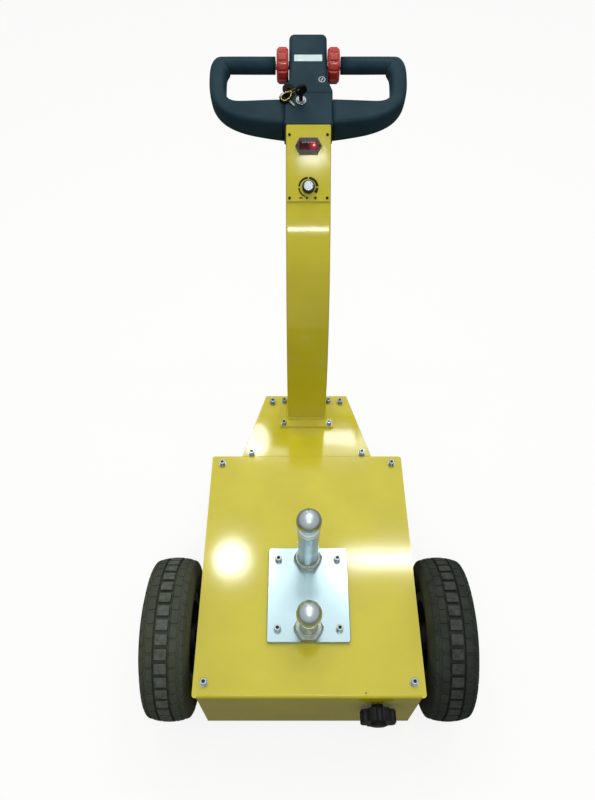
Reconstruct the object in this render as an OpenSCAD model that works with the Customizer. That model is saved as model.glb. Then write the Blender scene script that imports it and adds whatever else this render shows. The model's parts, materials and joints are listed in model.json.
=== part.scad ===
// Walk-behind electric tow tug: sheet steel box on two drive wheels and a swivel
// caster, a zinc hitch plate with two tow balls, and a curved tiller with a loop head.
// X runs across the machine, Y from the hitch end to the handle, Z up from the floor.

/* [Main box] */
// Width of the top cover
cover_w = 445; // [400:5:520]
// Length of the top cover, front edge to rear edge
cover_l = 534; // [500:2:620]
// Height of the cover's top face above the floor
cover_z = 269; // [255:1:300]
// Thickness of the cover sheets
sheet_t = 3; // [2:0.5:5]
// Outer radius of the bend between the cover's top and its apron
bend_r = 7; // [6:0.5:12]
// Radius of the covers' corners
cover_corner_r = 6; // [3:1:12]
// Height of the front apron, top face to lower edge
apron_h = 208; // [190:1:220]
// How far the cover stands out past the box at each side
overhang = 9; // [4:1:15]
// Thickness of the box walls
wall_t = 4; // [3:0.5:6]

/* [Tail] */
// Length of the tail behind the main cover
tail_l = 179; // [170:1:220]
// Width of the tail where it meets the main cover
tail_front_w = 305; // [280:5:340]
// Width of the tail at its rear edge
tail_rear_w = 202; // [180:2:240]
// How far the tail's walls stand in from the edge of its cover
tail_inset = 3; // [1:0.5:6]

/* [Hitch] */
// Width of the hitch plate
hitch_w = 166; // [150:2:200]
// Length of the hitch plate
hitch_l = 198; // [180:2:240]
// Thickness of the hitch plate
hitch_t = 10; // [6:1:16]
// Corner radius of the hitch plate
hitch_corner_r = 5; // [2:1:12]
// Distance from the cover's front edge to the hitch plate
hitch_back = 100; // [80:2:120]
// Diameter of the tow balls
ball_d = 50; // [45:0.5:55]
// Height of the short ball's centre above the cover
short_ball_h = 100; // [80:1:120]
// Height of the tall ball's centre above the cover
tall_ball_h = 190; // [150:1:220]
// Distance from each ball's axis to the nearer end of the plate
ball_inset = 26; // [26:1:40]
// Diameter of the tall ball's post
post_d = 43; // [36:1:46]
// Diameter of the neck right under each ball
neck_d = 34; // [28:1:40]
// Width across the flats of the hexagon at each ball's foot
hex_w = 52; // [48:1:56]
// Height of the hexagon at each ball's foot
hex_h = 16; // [10:1:24]

/* [Tiller column] */
// Width of the column
column_w = 91; // [80:1:94]
// Depth of the column, front face to back face
column_depth = 55; // [45:1:70]
// Wall of the column's box section
column_wall = 3; // [2:0.5:5]
// Outer radius of the column's long edges
column_edge_r = 4; // [3:0.5:8]
// Upright length of the column above its foot flange
column_foot_l = 72; // [40:2:120]
// Bend radius of the column's front face
column_bend_r = 560; // [400:10:700]
// Angle through which the column bends back
column_bend = 46; // [35:1:55]
// Straight length at the top of the column
column_top_l = 182; // [166:4:242]
// Width of the foot flange
flange_w = 128; // [110:2:160]
// Thickness of the foot flange
flange_t = 8; // [5:1:12]
// Length of the foot flange in front of the column
flange_toe = 24; // [15:1:40]
// Length of the foot flange behind the column
flange_heel = 11; // [9:1:16]
// Distance from the rear of the flange to the rear of the tail
flange_inset = 8; // [4:1:10]

/* [Control panel] */
// Distance from the column's top edge to the panel's lower edge
panel_l = 156; // [150:1:162]
// Inset of the panel from the column's sides
panel_inset = 1.5; // [0.5:0.5:3]
// Thickness of the panel
panel_t = 3; // [2:0.5:5]
// Width of the battery gauge, point to point
gauge_w = 53; // [45:1:60]
// Length of the battery gauge along the column
gauge_l = 31; // [28:1:40]
// Thickness of the battery gauge
gauge_t = 7; // [4:0.5:10]
// Distance from the column's top edge to the gauge's centre
gauge_drop = 49; // [44:1:60]
// Distance from the column's top edge to the speed knob's axis
speed_drop = 128; // [110:1:130]
// Diameter of the speed knob's skirt
speed_d = 26; // [20:1:34]
// Height of the speed knob with its cap
speed_h = 17; // [12:1:22]

/* [Tiller head] */
// Rise of the head above the level
head_tilt = 20; // [10:1:30]
// Width of the head's hub
hub_w = 99; // [92:1:110]
// Distance from the column's top edge to the rear of the hub
hub_l = 70; // [64:1:80]
// Length of the hub in front of the column's top edge
hub_lead = 6; // [3:1:8]
// Thickness of the head's hub
hub_t = 65; // [60:1:75]
// Width of the head's block between the throttles
block_w = 79; // [66:1:84]
// Length of the block behind the hub
block_l = 153; // [140:1:170]
// Thickness of the block at its rear end
block_t = 54; // [48:1:60]
// Overall width of the loop handle
loop_w = 409; // [370:1:440]
// Width of the loop's front arm at the hub
arm_w = 63; // [50:1:70]
// Diameter of the grips
grip_d = 35; // [30:1:38]
// Distance from the column's top edge to the grips' axis
grip_back = 155; // [148:1:165]
// Depth of the grips' axis below the head's top face
grip_drop = 20; // [18:1:26]
// Diameter of the throttle thumb wheels
throttle_d = 70; // [60:1:76]
// Width of the throttle thumb wheels
throttle_w = 24; // [20:1:30]

/* [Drive wheels] */
// Outside diameter of the tyres
tyre_d = 330; // [300:2:360]
// Width of the tyres
tyre_w = 100; // [90:1:110]
// Diameter of the tyre's seat on the rim
rim_d = 160; // [150:1:170]
// Gap between the cover's edge and the tyre's side
tyre_gap = 11; // [8:1:20]
// Distance from the cover's front edge to the axle
axle_back = 146; // [130:2:170]
// Diameter of the half axles
axle_d = 25; // [20:1:30]

/* [Swivel caster] */
// Diameter of the caster wheel
caster_d = 125; // [110:1:140]
// Width of the caster wheel's tread
caster_w = 40; // [32:1:46]
// Trail of the caster wheel behind its swivel axis
caster_trail = 40; // [34:1:46]
// Diameter of the caster's axle bolt
caster_bolt_d = 12; // [10:1:14]

/* [Isolator knob] */
// Diameter of the isolator's hand knob
knob_d = 70; // [60:1:80]
// Distance from the box's side to the knob's axis
knob_inset = 79.5; // [60:0.5:110]
// Distance of the knob's axis below the cover's top
knob_drop = 59; // [50:1:95]

/* [Hidden] */

// Round surfaces, and the rounded children of a hull
$fn = 64;
hull_fn = 32;

// Overrun of every cut, the gap of a fixed seat, of a turning shaft and of a moulding seam
over = 1;
seat_gap = 0.1;
run_gap = 0.05;
seam = 0.6;

yellow = "#d2c33c";
zinc = "#c9cfd2";
steel = "#9aa0a4";
black = "#26292b";
moulding = "#3a474f";
red = "#b83a30";
brass = "#b99a3c";
rubber = "#2f322f";

// The box under the cover
box_w = cover_w - 2 * overhang;
box_front = sheet_t;
box_rear = cover_l - wall_t;
box_low = cover_z - apron_h;
box_top = cover_z - sheet_t;
floor_z = box_low + wall_t;
inner_w = box_w - 2 * wall_t;
bend_relief = bend_r - sheet_t;

// The axle and the wheels on it
axle_z = tyre_d / 2;
wheel_x = cover_w / 2 + tyre_gap + tyre_w / 2;
axle_hole_gap = 4;
axle_hole_d = axle_d + 2 * axle_hole_gap;
bearing_w = 20;
bearing_d = 78;
hub_run = 5;
hub_inner_x = box_w / 2 + bearing_w + hub_run;
crown_r = 120;
bulge_r = 70;
bead_share = 0.36;
bead_half = bead_share * tyre_w;
bead_lip = 15;
groove_w = 5;
groove_depth = 7;
groove_side = 15;
rim_wall = 6;
rim_lip_t = 4;
rim_lip_h = 13;
disc_t = 6;
disc_out = 6;
pilot_d = 60;
lug_flange_d = 124;
lug_flange_t = 8;
boss_d = 56;
hub_nose = 20;
nose_d = 46;

// The heavy masses shut in the box
drive_side_gap = 70;
drive_l = 150;
drive_w = inner_w - 2 * drive_side_gap;
axle_gap = 0.5;
battery_gap = 10;
mass_head = 25;
mass_h = box_top - floor_z - mass_head;
battery_l = 130;
battery_w = (inner_w - 3 * battery_gap) / 2;
battery_y = axle_back + drive_l / 2 + battery_gap;

// The caster from the floor up
fork_gap = 12.5;
crown_t = 8;
swivel_gap = 0.5;
race_h = 14;
race_d = 72;
top_plate_t = 6;
top_plate_w = 92;
top_plate_margin = 8;
swing_clear = 13.5;
leg_t = 5;
leg_gap = 6;
core_gap = 1.5;
leg_boss_r = 20;
crown_half = 34;
kingpin_d = 16;
bolt_head_h = 7;
caster_core_d = 88;
caster_edge_r = 7;
caster_axle_z = caster_d / 2;
crown_low = caster_d + fork_gap;
race_low = crown_low + crown_t + swivel_gap;
caster_top = race_low + race_h + top_plate_t;
caster_y = cover_l + caster_trail + caster_d / 2 + swing_clear;
top_plate_l = 2 * (cover_l + tail_l - caster_y - top_plate_margin);
leg_in = caster_w / 2 + leg_gap;
leg_out = leg_in + leg_t;

// The tail's slanting sides
tail_slope = (tail_front_w - tail_rear_w) / 2 / tail_l;
tail_slant = sqrt(1 + tail_slope * tail_slope);
tail_rear = cover_l + tail_l;

// The column, and the edge at its top where the head begins
column_front = tail_rear - flange_inset - flange_heel - column_depth;
column_low = cover_z + flange_t;
bend_y = column_front + column_bend_r;
bend_z = column_low + column_foot_l;
column_rise = 90 - column_bend;
head_y = bend_y - column_bend_r * cos(column_bend) + column_top_l * sin(column_bend);
head_z = bend_z + column_bend_r * sin(column_bend) + column_top_l * cos(column_bend);

// The head's parts
hub_edge_r = 6;
block_edge_r = 8;
block_end_r = 11;
flare_start = 7;
flare_l = 30;
slab_t = 1;
throttle_gap = 1.5;
throttle_in = block_w / 2 + throttle_gap;
grip_end = throttle_in + throttle_w + 2 * throttle_gap;
shaft_d = 16;
head_l = hub_l + block_l;
arm_lip = 3;
loop_back = grip_back + grip_d / 2;
belly_w = 50;
belly_h = 30;
belly_t = 10;
belly_share = 0.62;
belly_drop = belly_share * block_t;

// The key and its switch on the hub
key_side = 15;
key_back = 49;
switch_d = 22;
switch_h = 6;
stem_w = 8;
stem_h = 12;
stem_t = 2.4;
bow_d = 24;
bow_t = 5;
bow_z = switch_h + stem_h + bow_d / 2;
bow_hole_d = 7;
bow_hole_side = bow_d / 4;
bow_hole_up = bow_d / 6;
ring_d = 22;
ring_wire = 1.6;
key_turn = 20;

// The isolator knob, from the apron outwards
knob_neck = 10;
knob_neck_d = 23;
knob_t = 23;
knob_cap = 5;
knob_cap_d = 30;
knob_scallop_r = 7;
knob_scallops = 8;

// The finished length, and the middle of it
front_reach = -(knob_neck + knob_t + knob_cap);
rear_reach = head_y + (head_l + belly_t) * cos(head_tilt) + (belly_drop + belly_h / 2) * sin(head_tilt);
mid_y = (front_reach + rear_reach) / 2;

// Puts the origin on the floor under the middle of the machine
module placed() {
    translate([0, -mid_y, 0])
        children();
}

// Top edge of the column's front face: Y runs up the panel, Z out of it
module panel_frame() {
    placed()
        translate([0, head_y, head_z])
            rotate([column_rise, 0, 0])
                children();
}

// The same edge, with Y running back along the head and Z out of its top face
module head_frame() {
    placed()
        translate([0, head_y, head_z])
            rotate([head_tilt, 0, 0])
                children();
}

// Axis of the drive wheels at one side, with Z pointing outwards
module wheel_frame(side) {
    placed()
        translate([side * wheel_x, axle_back, axle_z])
            rotate([0, side * 90, 0])
                children();
}

// Middle of the caster wheel, with Z along its axle
module caster_wheel_frame() {
    placed()
        translate([0, caster_y + caster_trail, caster_axle_z])
            rotate([0, 90, 0])
                children();
}

// Flat rectangle about the origin with round corners
module round_rect(w, l, r) {
    square([w, l - 2 * r], center = true);
    square([w - 2 * r, l], center = true);
    for (x = [-1, 1])
        for (y = [-1, 1])
            translate([x * (w / 2 - r), y * (l / 2 - r)])
                circle(r);
}

// Half the tail's width at a distance behind the main cover
function tail_half(y) = tail_front_w / 2 - tail_slope * y;

// Plan of the tail between two distances behind the main cover, drawn in from its sides
module tail_plan(y0, y1, inset) {
    side = inset * tail_slant;
    polygon([
        [tail_half(y0) - side, y0], [tail_half(y1) - side, y1],
        [side - tail_half(y1), y1], [side - tail_half(y0), y0]
    ]);
}

// Open-topped box of sheet steel, closed in front by the cover's apron
module chassis_tub() {
    color(yellow)
        placed()
            difference() {
                translate([-box_w / 2, box_front, box_low])
                    cube([box_w, box_rear - box_front, box_top - box_low]);
                translate([-inner_w / 2, box_front - over, floor_z])
                    cube([inner_w, box_rear - wall_t - box_front + over, box_top - floor_z + over]);
                translate([-box_w / 2 - over, axle_back, axle_z])
                    rotate([0, 90, 0])
                        cylinder(d = axle_hole_d, h = box_w + 2 * over);
                translate([-box_w / 2 - over, box_front - over, box_top - bend_relief])
                    cube([box_w + 2 * over, bend_relief + over, bend_relief + over]);
            }
}

// Side view of the bent sheet at the front edge, drawn in Y and Z
module apron_profile() {
    translate([0, -apron_h])
        square([sheet_t, apron_h - bend_r]);
    intersection() {
        difference() {
            translate([bend_r, -bend_r])
                circle(bend_r);
            translate([bend_r, -bend_r])
                circle(bend_r - sheet_t);
        }
        translate([0, -bend_r])
            square(bend_r);
    }
}

// Top sheet with the front apron bent down out of it
module main_cover() {
    color(yellow)
        placed()
            translate([0, 0, cover_z]) {
                translate([-box_w / 2, 0, 0])
                    rotate([90, 0, 90])
                        linear_extrude(box_w)
                            apron_profile();
                translate([0, 0, -sheet_t])
                    linear_extrude(sheet_t)
                        difference() {
                            translate([0, cover_l / 2])
                                round_rect(cover_w, cover_l, cover_corner_r);
                            translate([-box_w / 2, -over])
                                square([box_w, bend_r + over]);
                        }
            }
}

// Wedge-shaped box behind the main one, open to its rear wall and carried on the caster
module tail_tub() {
    tail_end = tail_l - tail_inset;
    color(yellow)
        placed()
            translate([0, cover_l, caster_top])
                difference() {
                    linear_extrude(box_top - caster_top)
                        tail_plan(-wall_t, tail_end, tail_inset);
                    translate([0, 0, wall_t])
                        linear_extrude(box_top - caster_top)
                            tail_plan(-wall_t - over, tail_end - wall_t, tail_inset + wall_t);
                }
}

// Flat sheet over the tail
module tail_cover() {
    color(yellow)
        placed()
            translate([0, cover_l, box_top])
                linear_extrude(sheet_t)
                    tail_plan(seam, tail_l, 0);
}

// Thick zinc-plated plate that carries both tow balls
module hitch_plate() {
    color(zinc)
        placed()
            translate([0, hitch_back + hitch_l / 2, cover_z])
                linear_extrude(hitch_t)
                    round_rect(hitch_w, hitch_l, hitch_corner_r);
}

// Ball on a turned post with a collar and a hexagon foot
module tow_ball(y, ball_h, shank_d) {
    shank_h = ball_h - hitch_t - ball_d / 2;
    collar_h = neck_d / 6;
    color(zinc)
        placed()
            translate([0, y, cover_z + hitch_t]) {
                cylinder(d = hex_w / cos(30), h = hex_h, $fn = 6);
                cylinder(d = shank_d, h = shank_h - collar_h);
                cylinder(d = neck_d, h = ball_h - hitch_t);
                translate([0, 0, shank_h - 2 * collar_h])
                    cylinder(d = shank_d + collar_h / 2, h = collar_h);
                translate([0, 0, ball_h - hitch_t])
                    sphere(d = ball_d);
            }
}

module tow_ball_short() {
    tow_ball(hitch_back + ball_inset, short_ball_h, neck_d + seat_gap);
}

module tow_ball_tall() {
    tow_ball(hitch_back + hitch_l - ball_inset, tall_ball_h, post_d);
}

// Scalloped hand knob on a short neck, with its cap
module isolator_knob() {
    color(black)
        placed()
            translate([box_w / 2 - knob_inset, 0, cover_z - knob_drop])
                rotate([90, 0, 0]) {
                    cylinder(d = knob_neck_d, h = knob_neck);
                    translate([0, 0, knob_neck])
                        linear_extrude(knob_t)
                            difference() {
                                circle(d = knob_d);
                                for (i = [0 : knob_scallops - 1])
                                    rotate(i * 360 / knob_scallops)
                                        translate([knob_d / 2 + knob_scallop_r / 3, 0])
                                            circle(knob_scallop_r);
                            }
                    translate([0, 0, knob_neck])
                        cylinder(d = knob_cap_d, h = knob_t + knob_cap);
                }
}

// Box section of the column, its front face at the bend's outer radius
module column_section() {
    translate([column_bend_r - column_depth / 2, 0])
        difference() {
            round_rect(column_depth, column_w, column_edge_r);
            square([column_depth - 2 * column_wall, column_w - 2 * column_wall], center = true);
        }
}

// Straight run of the column's section along Y
module column_run(l) {
    rotate([-90, 0, 0])
        linear_extrude(l)
            column_section();
}

// Curved box column welded to its foot flange, cut off square to the head
module tiller_column() {
    reach = column_top_l + column_depth;
    color(yellow) {
        placed()
            translate([-flange_w / 2, column_front - flange_toe, cover_z])
                cube([flange_w, flange_toe + column_depth + flange_heel, flange_t]);
        difference() {
            placed()
                translate([0, bend_y, bend_z])
                    rotate([90, 0, -90]) {
                        translate([0, -column_foot_l - flange_t, 0])
                            column_run(column_foot_l + flange_t);
                        rotate_extrude(angle = column_bend)
                            column_section();
                        rotate([0, 0, column_bend])
                            column_run(reach);
                    }
            head_frame()
                translate([-hub_w, -hub_lead, -reach])
                    cube([2 * hub_w, reach, 2 * reach]);
        }
    }
}

// Flat plate for the gauge and the speed knob on the column's upper face, up to the hub
module control_panel() {
    top = (hub_lead + seam) / cos(column_rise - head_tilt);
    color(yellow)
        panel_frame()
            translate([panel_inset - column_w / 2, -panel_l, 0])
                cube([column_w - 2 * panel_inset, panel_l - top, panel_t]);
}

// Six-sided plan of the gauge, pointed at the left and right
module gauge_plan() {
    flat_share = 0.34;
    polygon([
        [gauge_w / 2, 0], [gauge_w * flat_share, gauge_l / 2], [-gauge_w * flat_share, gauge_l / 2],
        [-gauge_w / 2, 0], [-gauge_w * flat_share, -gauge_l / 2], [gauge_w * flat_share, -gauge_l / 2]
    ]);
}

// Window of the gauge, as shares of its bezel
window_w_share = 0.7;
window_l_share = 0.5;
window_t_share = 0.3;
window_w = window_w_share * gauge_w;
window_l = window_l_share * gauge_l;
window_t = window_t_share * gauge_t;

// Dark bezel of the battery gauge with a window let into its face
module battery_gauge() {
    color(black)
        panel_frame()
            translate([0, -gauge_drop, panel_t])
                difference() {
                    linear_extrude(gauge_t)
                        gauge_plan();
                    translate([-window_w / 2, -window_l / 2, gauge_t - window_t])
                        cube([window_w, window_l, window_t + over]);
                }
}

// Tinted lens in the gauge's window
module gauge_lens() {
    color(red)
        panel_frame()
            translate([-window_w / 2, -gauge_drop - window_l / 2, panel_t + gauge_t - window_t])
                cube([window_w, window_l, window_t]);
}

// Height of the speed knob's skirt, and the width of the cap on it
skirt_share = 0.6;
cap_share = 0.76;
skirt_h = skirt_share * speed_h;
speed_cap_d = cap_share * speed_d;

// Fluted skirt of the speed knob
module speed_knob() {
    flutes = 18;
    flute_r = speed_d / 20;
    color(black)
        panel_frame()
            translate([0, -speed_drop, panel_t])
                linear_extrude(skirt_h)
                    difference() {
                        circle(d = speed_d);
                        for (i = [0 : flutes - 1])
                            rotate(i * 360 / flutes)
                                translate([speed_d / 2 + flute_r / 2, 0])
                                    circle(flute_r);
                    }
}

// Bright cap of the speed knob
module speed_knob_cap() {
    color(zinc)
        panel_frame()
            translate([0, -speed_drop, panel_t + skirt_h])
                cylinder(d = speed_cap_d, h = speed_h - skirt_h);
}

// Thin slice across the head at a distance back, used to loft its mouldings
module head_slab(back, w, t, r) {
    translate([0, back, -t / 2])
        rotate([-90, 0, 0])
            linear_extrude(slab_t)
                round_rect(w, t, r, $fn = hull_fn);
}

// Moulded hub that closes the column's top
module head_hub() {
    color(moulding)
        head_frame()
            translate([0, -hub_lead, -hub_t / 2])
                rotate([-90, 0, 0])
                    linear_extrude(hub_lead + hub_l)
                        round_rect(hub_w, hub_t, hub_edge_r);
}

// Moulded block between the throttles: flared at the hub, round at its rear end
module head_block() {
    start = hub_l + seam;
    neck = hub_l + flare_start + flare_l;
    color(moulding)
        head_frame() {
            hull() {
                head_slab(start, hub_w, hub_t, hub_edge_r);
                head_slab(hub_l + flare_start, hub_w, hub_t, hub_edge_r);
                head_slab(neck, block_w, (hub_t + block_t) / 2, block_edge_r);
            }
            hull() {
                head_slab(neck, block_w, (hub_t + block_t) / 2, block_edge_r);
                for (x = [-1, 1])
                    for (z = [-block_end_r, block_end_r - block_t])
                        translate([x * (block_w / 2 - block_end_r), head_l - block_end_r, z])
                            sphere(block_end_r, $fn = hull_fn);
            }
        }
}

// Stations of the loop as shares: outer edge across and back, inner edge across and back,
// thickness of the hub, and roundness of the section
loop_shares = [
    [0.430, 0.000, 0.410, 0.340, 0.93, 0.36],
    [0.645, 0.042, 0.600, 0.330, 0.855, 0.40],
    [0.828, 0.140, 0.725, 0.328, 0.80, 0.45],
    [0.942, 0.290, 0.795, 0.370, 0.755, 0.50],
    [0.988, 0.470, 0.822, 0.465, 0.715, 0.55],
    [1.000, 0.660, 0.826, 0.610, 0.67, 0.60],
    [0.993, 0.850, 0.819, 0.725, 0.62, 0.70],
    [0.945, 0.975, 0.788, 0.785, 0.57, 0.85]
];
grip_start_share = 0.84;
grip_mid_share = 0.58;
hub_round_share = 0.34;
loop_steps = 3;
ring_points = 20;

// One station in millimetres: outer edge, inner edge, top and bottom of the section, roundness
grip_in = grip_back - grip_d / 2;
grip_top = grip_d / 2 - grip_drop;
arm_start = hub_w / 2 + seam;
loop_half = loop_w / 2;
function arm_station(row, i) =
    let (top = grip_top * i / len(loop_shares))
    [row[0] * loop_half, row[1] * loop_back, row[2] * loop_half, row[3] * loop_back, top,
     top - row[4] * hub_t, row[5]];
function grip_station(x) = [x, loop_back, x, grip_in, grip_top, grip_top - grip_d, 1];

loop_stations = concat(
    [[arm_start, -arm_lip, arm_start, arm_w - arm_lip, 0, -hub_t, hub_round_share]],
    [for (i = [0 : len(loop_shares) - 1]) arm_station(loop_shares[i], i)],
    [for (s = [grip_start_share, grip_mid_share]) grip_station(s * loop_half)],
    [grip_station(grip_end)]
);

// Smooth curve through four stations, between the middle two
function spline(a, b, c, d, t) =
    (2 * b + (c - a) * t + (2 * a - 5 * b + 4 * c - d) * t * t + (3 * b - a - 3 * c + d) * t * t * t) / 2;

loop_last = len(loop_stations) - 1;
loop_path = concat(
    [for (i = [0 : loop_last - 1])
        for (k = [0 : loop_steps - 1])
            spline(
                loop_stations[max(i - 1, 0)], loop_stations[i], loop_stations[i + 1],
                loop_stations[min(i + 2, loop_last)], k / loop_steps
            )],
    [loop_stations[loop_last]]
);

// Rounded section across one station: the power squares the ellipse up
function squared(v, power) = sign(v) * pow(abs(v), power);
function loop_ring(s) = [
    for (k = [0 : ring_points - 1])
        let (
            a = 360 * k / ring_points,
            across = squared(cos(a), s[6]),
            up = squared(sin(a), s[6])
        )
        [
            (s[0] + s[2]) / 2 + (s[0] - s[2]) / 2 * across,
            (s[1] + s[3]) / 2 + (s[1] - s[3]) / 2 * across,
            (s[4] + s[5]) / 2 + (s[4] - s[5]) / 2 * up
        ]
];

// Moulded loop lofted through its stations, from the hub round to the end of the grip
module loop_half_shell() {
    rings = len(loop_path);
    points = [for (s = loop_path) each loop_ring(s)];
    sides = [
        for (i = [0 : rings - 2])
            for (k = [0 : ring_points - 1])
                let (
                    a = i * ring_points + k,
                    b = i * ring_points + (k + 1) % ring_points
                )
                each [[a, b, b + ring_points], [a, b + ring_points, a + ring_points]]
    ];
    near = [[for (k = [ring_points - 1 : -1 : 0]) k]];
    far = [[for (k = [0 : ring_points - 1]) (rings - 1) * ring_points + k]];
    polyhedron(points, concat(sides, near, far));
}

module loop_right() {
    color(moulding)
        head_frame()
            loop_half_shell();
}

module loop_left() {
    color(moulding)
        head_frame()
            mirror([1, 0, 0])
                loop_half_shell();
}

// Axis of the grips at one side, with Z pointing outwards from the head's middle
module grip_frame(side) {
    head_frame()
        translate([0, grip_back, -grip_drop])
            rotate([0, side * 90, 0])
                children();
}

// Ribbed thumb wheel with chamfered rims, free on its shaft
module throttle(side) {
    ribs = 12;
    rib_r = throttle_d / 18;
    rim = throttle_w / 5;
    r = throttle_d / 2;
    bore = shaft_d / 2 + run_gap;
    color(red)
        grip_frame(side)
            translate([0, 0, throttle_in])
                difference() {
                    rotate_extrude()
                        polygon([
                            [bore, 0], [r - rim, 0], [r, rim], [r, throttle_w - rim],
                            [r - rim, throttle_w], [bore, throttle_w]
                        ]);
                    for (i = [0 : ribs - 1])
                        rotate(i * 360 / ribs)
                            translate([r + rib_r / 2, 0, -over])
                                cylinder(r = rib_r, h = throttle_w + 2 * over);
                }
}

module throttle_left() {
    throttle(-1);
}

module throttle_right() {
    throttle(1);
}

// Plain shaft from the block to the end of a grip
module throttle_shaft(side) {
    color(steel)
        grip_frame(side)
            translate([0, 0, block_w / 2])
                cylinder(d = shaft_d, h = grip_end - block_w / 2);
}

module throttle_shaft_left() {
    throttle_shaft(-1);
}

module throttle_shaft_right() {
    throttle_shaft(1);
}

// Middle of the key switch on the hub's top face
module key_frame() {
    head_frame()
        translate([-key_side, key_back, 0])
            children();
}

// Bright bezel of the key switch
module key_switch() {
    barrel_share = 0.72;
    color(zinc)
        key_frame() {
            cylinder(d = switch_d, h = switch_h / 2);
            cylinder(d = switch_d * barrel_share, h = switch_h);
        }
}

// Key standing in the switch, with a hole for its ring in the bow
module key() {
    color(black)
        key_frame()
            rotate(key_turn) {
                translate([-stem_w / 2, -stem_t / 2, switch_h])
                    cube([stem_w, stem_t, stem_h + bow_d / 4]);
                translate([0, bow_t / 2, bow_z])
                    rotate([90, 0, 0])
                        linear_extrude(bow_t)
                            difference() {
                                circle(d = bow_d);
                                translate([-bow_hole_side, bow_hole_up])
                                    circle(d = bow_hole_d);
                            }
            }
}

// Wire ring hanging in the hole of the key's bow
module key_ring() {
    hang = bow_z + bow_hole_up - bow_hole_d / 2 + ring_wire - ring_d / 2;
    color(brass)
        key_frame()
            rotate(key_turn)
                translate([-bow_hole_side, 0, hang])
                    rotate([0, 90, 0])
                        rotate_extrude()
                            translate([ring_d / 2, 0])
                                circle(d = ring_wire);
}

// Push pad on the rear end of the head
module belly_button() {
    color(red)
        head_frame()
            translate([0, head_l, -belly_drop])
                rotate([-90, 0, 0])
                    linear_extrude(belly_t)
                        round_rect(belly_w, belly_h, belly_h / 3);
}

// Flanged bearing on the box's side wall
module axle_bearing(side) {
    flange_share = 0.4;
    barrel_share = 0.7;
    color(steel)
        placed()
            translate([side * box_w / 2, axle_back, axle_z])
                rotate([0, side * 90, 0])
                    difference() {
                        union() {
                            cylinder(d = bearing_d, h = bearing_w * flange_share);
                            cylinder(d = bearing_d * barrel_share, h = bearing_w);
                        }
                        translate([0, 0, -over])
                            cylinder(d = axle_d + 2 * run_gap, h = bearing_w + 2 * over);
                    }
}

module axle_bearing_left() {
    axle_bearing(-1);
}

module axle_bearing_right() {
    axle_bearing(1);
}

// Motor and gear case as one block between the half axles
module drive_unit() {
    color(steel)
        placed()
            translate([-drive_w / 2, axle_back - drive_l / 2, floor_z])
                cube([drive_w, drive_l, mass_h]);
}

// Battery as one block on the floor of the box
module battery(side) {
    color(black)
        placed()
            translate([side * (battery_gap + battery_w) / 2 - battery_w / 2, battery_y, floor_z])
                cube([battery_w, battery_l, mass_h]);
}

module battery_left() {
    battery(-1);
}

module battery_right() {
    battery(1);
}

// Fixed top plate of the caster with its swivel race
module caster_plate() {
    color(zinc)
        placed()
            translate([0, caster_y, 0])
                difference() {
                    union() {
                        translate([-top_plate_w / 2, -top_plate_l / 2, caster_top - top_plate_t])
                            cube([top_plate_w, top_plate_l, top_plate_t]);
                        translate([0, 0, race_low])
                            cylinder(d = race_d, h = race_h);
                    }
                    translate([0, 0, race_low - over])
                        cylinder(d = kingpin_d + 2 * run_gap, h = caster_top);
                }
}

// Side view of a fork leg, from the crown down to the axle
module leg_profile() {
    polygon([
        [-crown_half, crown_low + crown_t], [crown_half, crown_low + crown_t],
        [caster_trail + leg_boss_r, caster_axle_z], [caster_trail - leg_boss_r, caster_axle_z]
    ]);
    translate([caster_trail, caster_axle_z])
        circle(leg_boss_r);
}

// Swivel fork: crown, two legs and the kingpin
module caster_fork() {
    color(zinc)
        placed()
            translate([0, caster_y, 0])
                difference() {
                    union() {
                        for (x = [-leg_out, leg_in])
                            translate([x, 0, 0])
                                rotate([90, 0, 90])
                                    linear_extrude(leg_t)
                                        leg_profile();
                        translate([-leg_out, -crown_half, crown_low])
                            cube([2 * leg_out, 2 * crown_half, crown_t]);
                        translate([0, 0, crown_low])
                            cylinder(d = kingpin_d, h = caster_top - top_plate_t / 2 - crown_low);
                    }
                    translate([-leg_out - over, caster_trail, caster_axle_z])
                        rotate([0, 90, 0])
                            cylinder(d = caster_bolt_d + 2 * run_gap, h = 2 * (leg_out + over));
                }
}

// Axle bolt through both legs, with a hexagon at each end
module caster_axle() {
    head_share = 1.7;
    color(steel)
        caster_wheel_frame() {
            cylinder(d = caster_bolt_d, h = 2 * leg_out, center = true);
            for (z = [-leg_out - bolt_head_h, leg_out])
                translate([0, 0, z])
                    cylinder(d = head_share * caster_bolt_d, h = bolt_head_h, $fn = 6);
        }
}

// Half section of a wheel's tread ring with rounded shoulders
module caster_tread_section() {
    tread = caster_d / 2 - caster_core_d / 2 - seat_gap;
    translate([caster_core_d / 2 + seat_gap + tread / 2, 0])
        round_rect(tread, caster_w, caster_edge_r);
    translate([caster_core_d / 2 + seat_gap, -caster_w / 2])
        square([tread / 2, caster_w]);
}

// Rubber tread of the caster wheel
module caster_tyre() {
    color(rubber)
        caster_wheel_frame()
            rotate_extrude()
                caster_tread_section();
}

// Core of the caster wheel: rim, web and hub
module caster_core() {
    rim_t = caster_core_d / 11;
    web_t = caster_w / 4;
    hub_share = 0.39;
    hub_d = hub_share * caster_core_d;
    hub_half = leg_in - core_gap;
    color(steel)
        caster_wheel_frame()
            difference() {
                union() {
                    difference() {
                        cylinder(d = caster_core_d, h = caster_w, center = true);
                        cylinder(d = caster_core_d - 2 * rim_t, h = caster_w + over, center = true);
                    }
                    cylinder(d = caster_core_d - rim_t, h = web_t, center = true);
                    cylinder(d = hub_d, h = 2 * hub_half, center = true);
                }
                cylinder(d = caster_bolt_d + 2 * run_gap, h = 2 * leg_in, center = true);
            }
}

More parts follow.
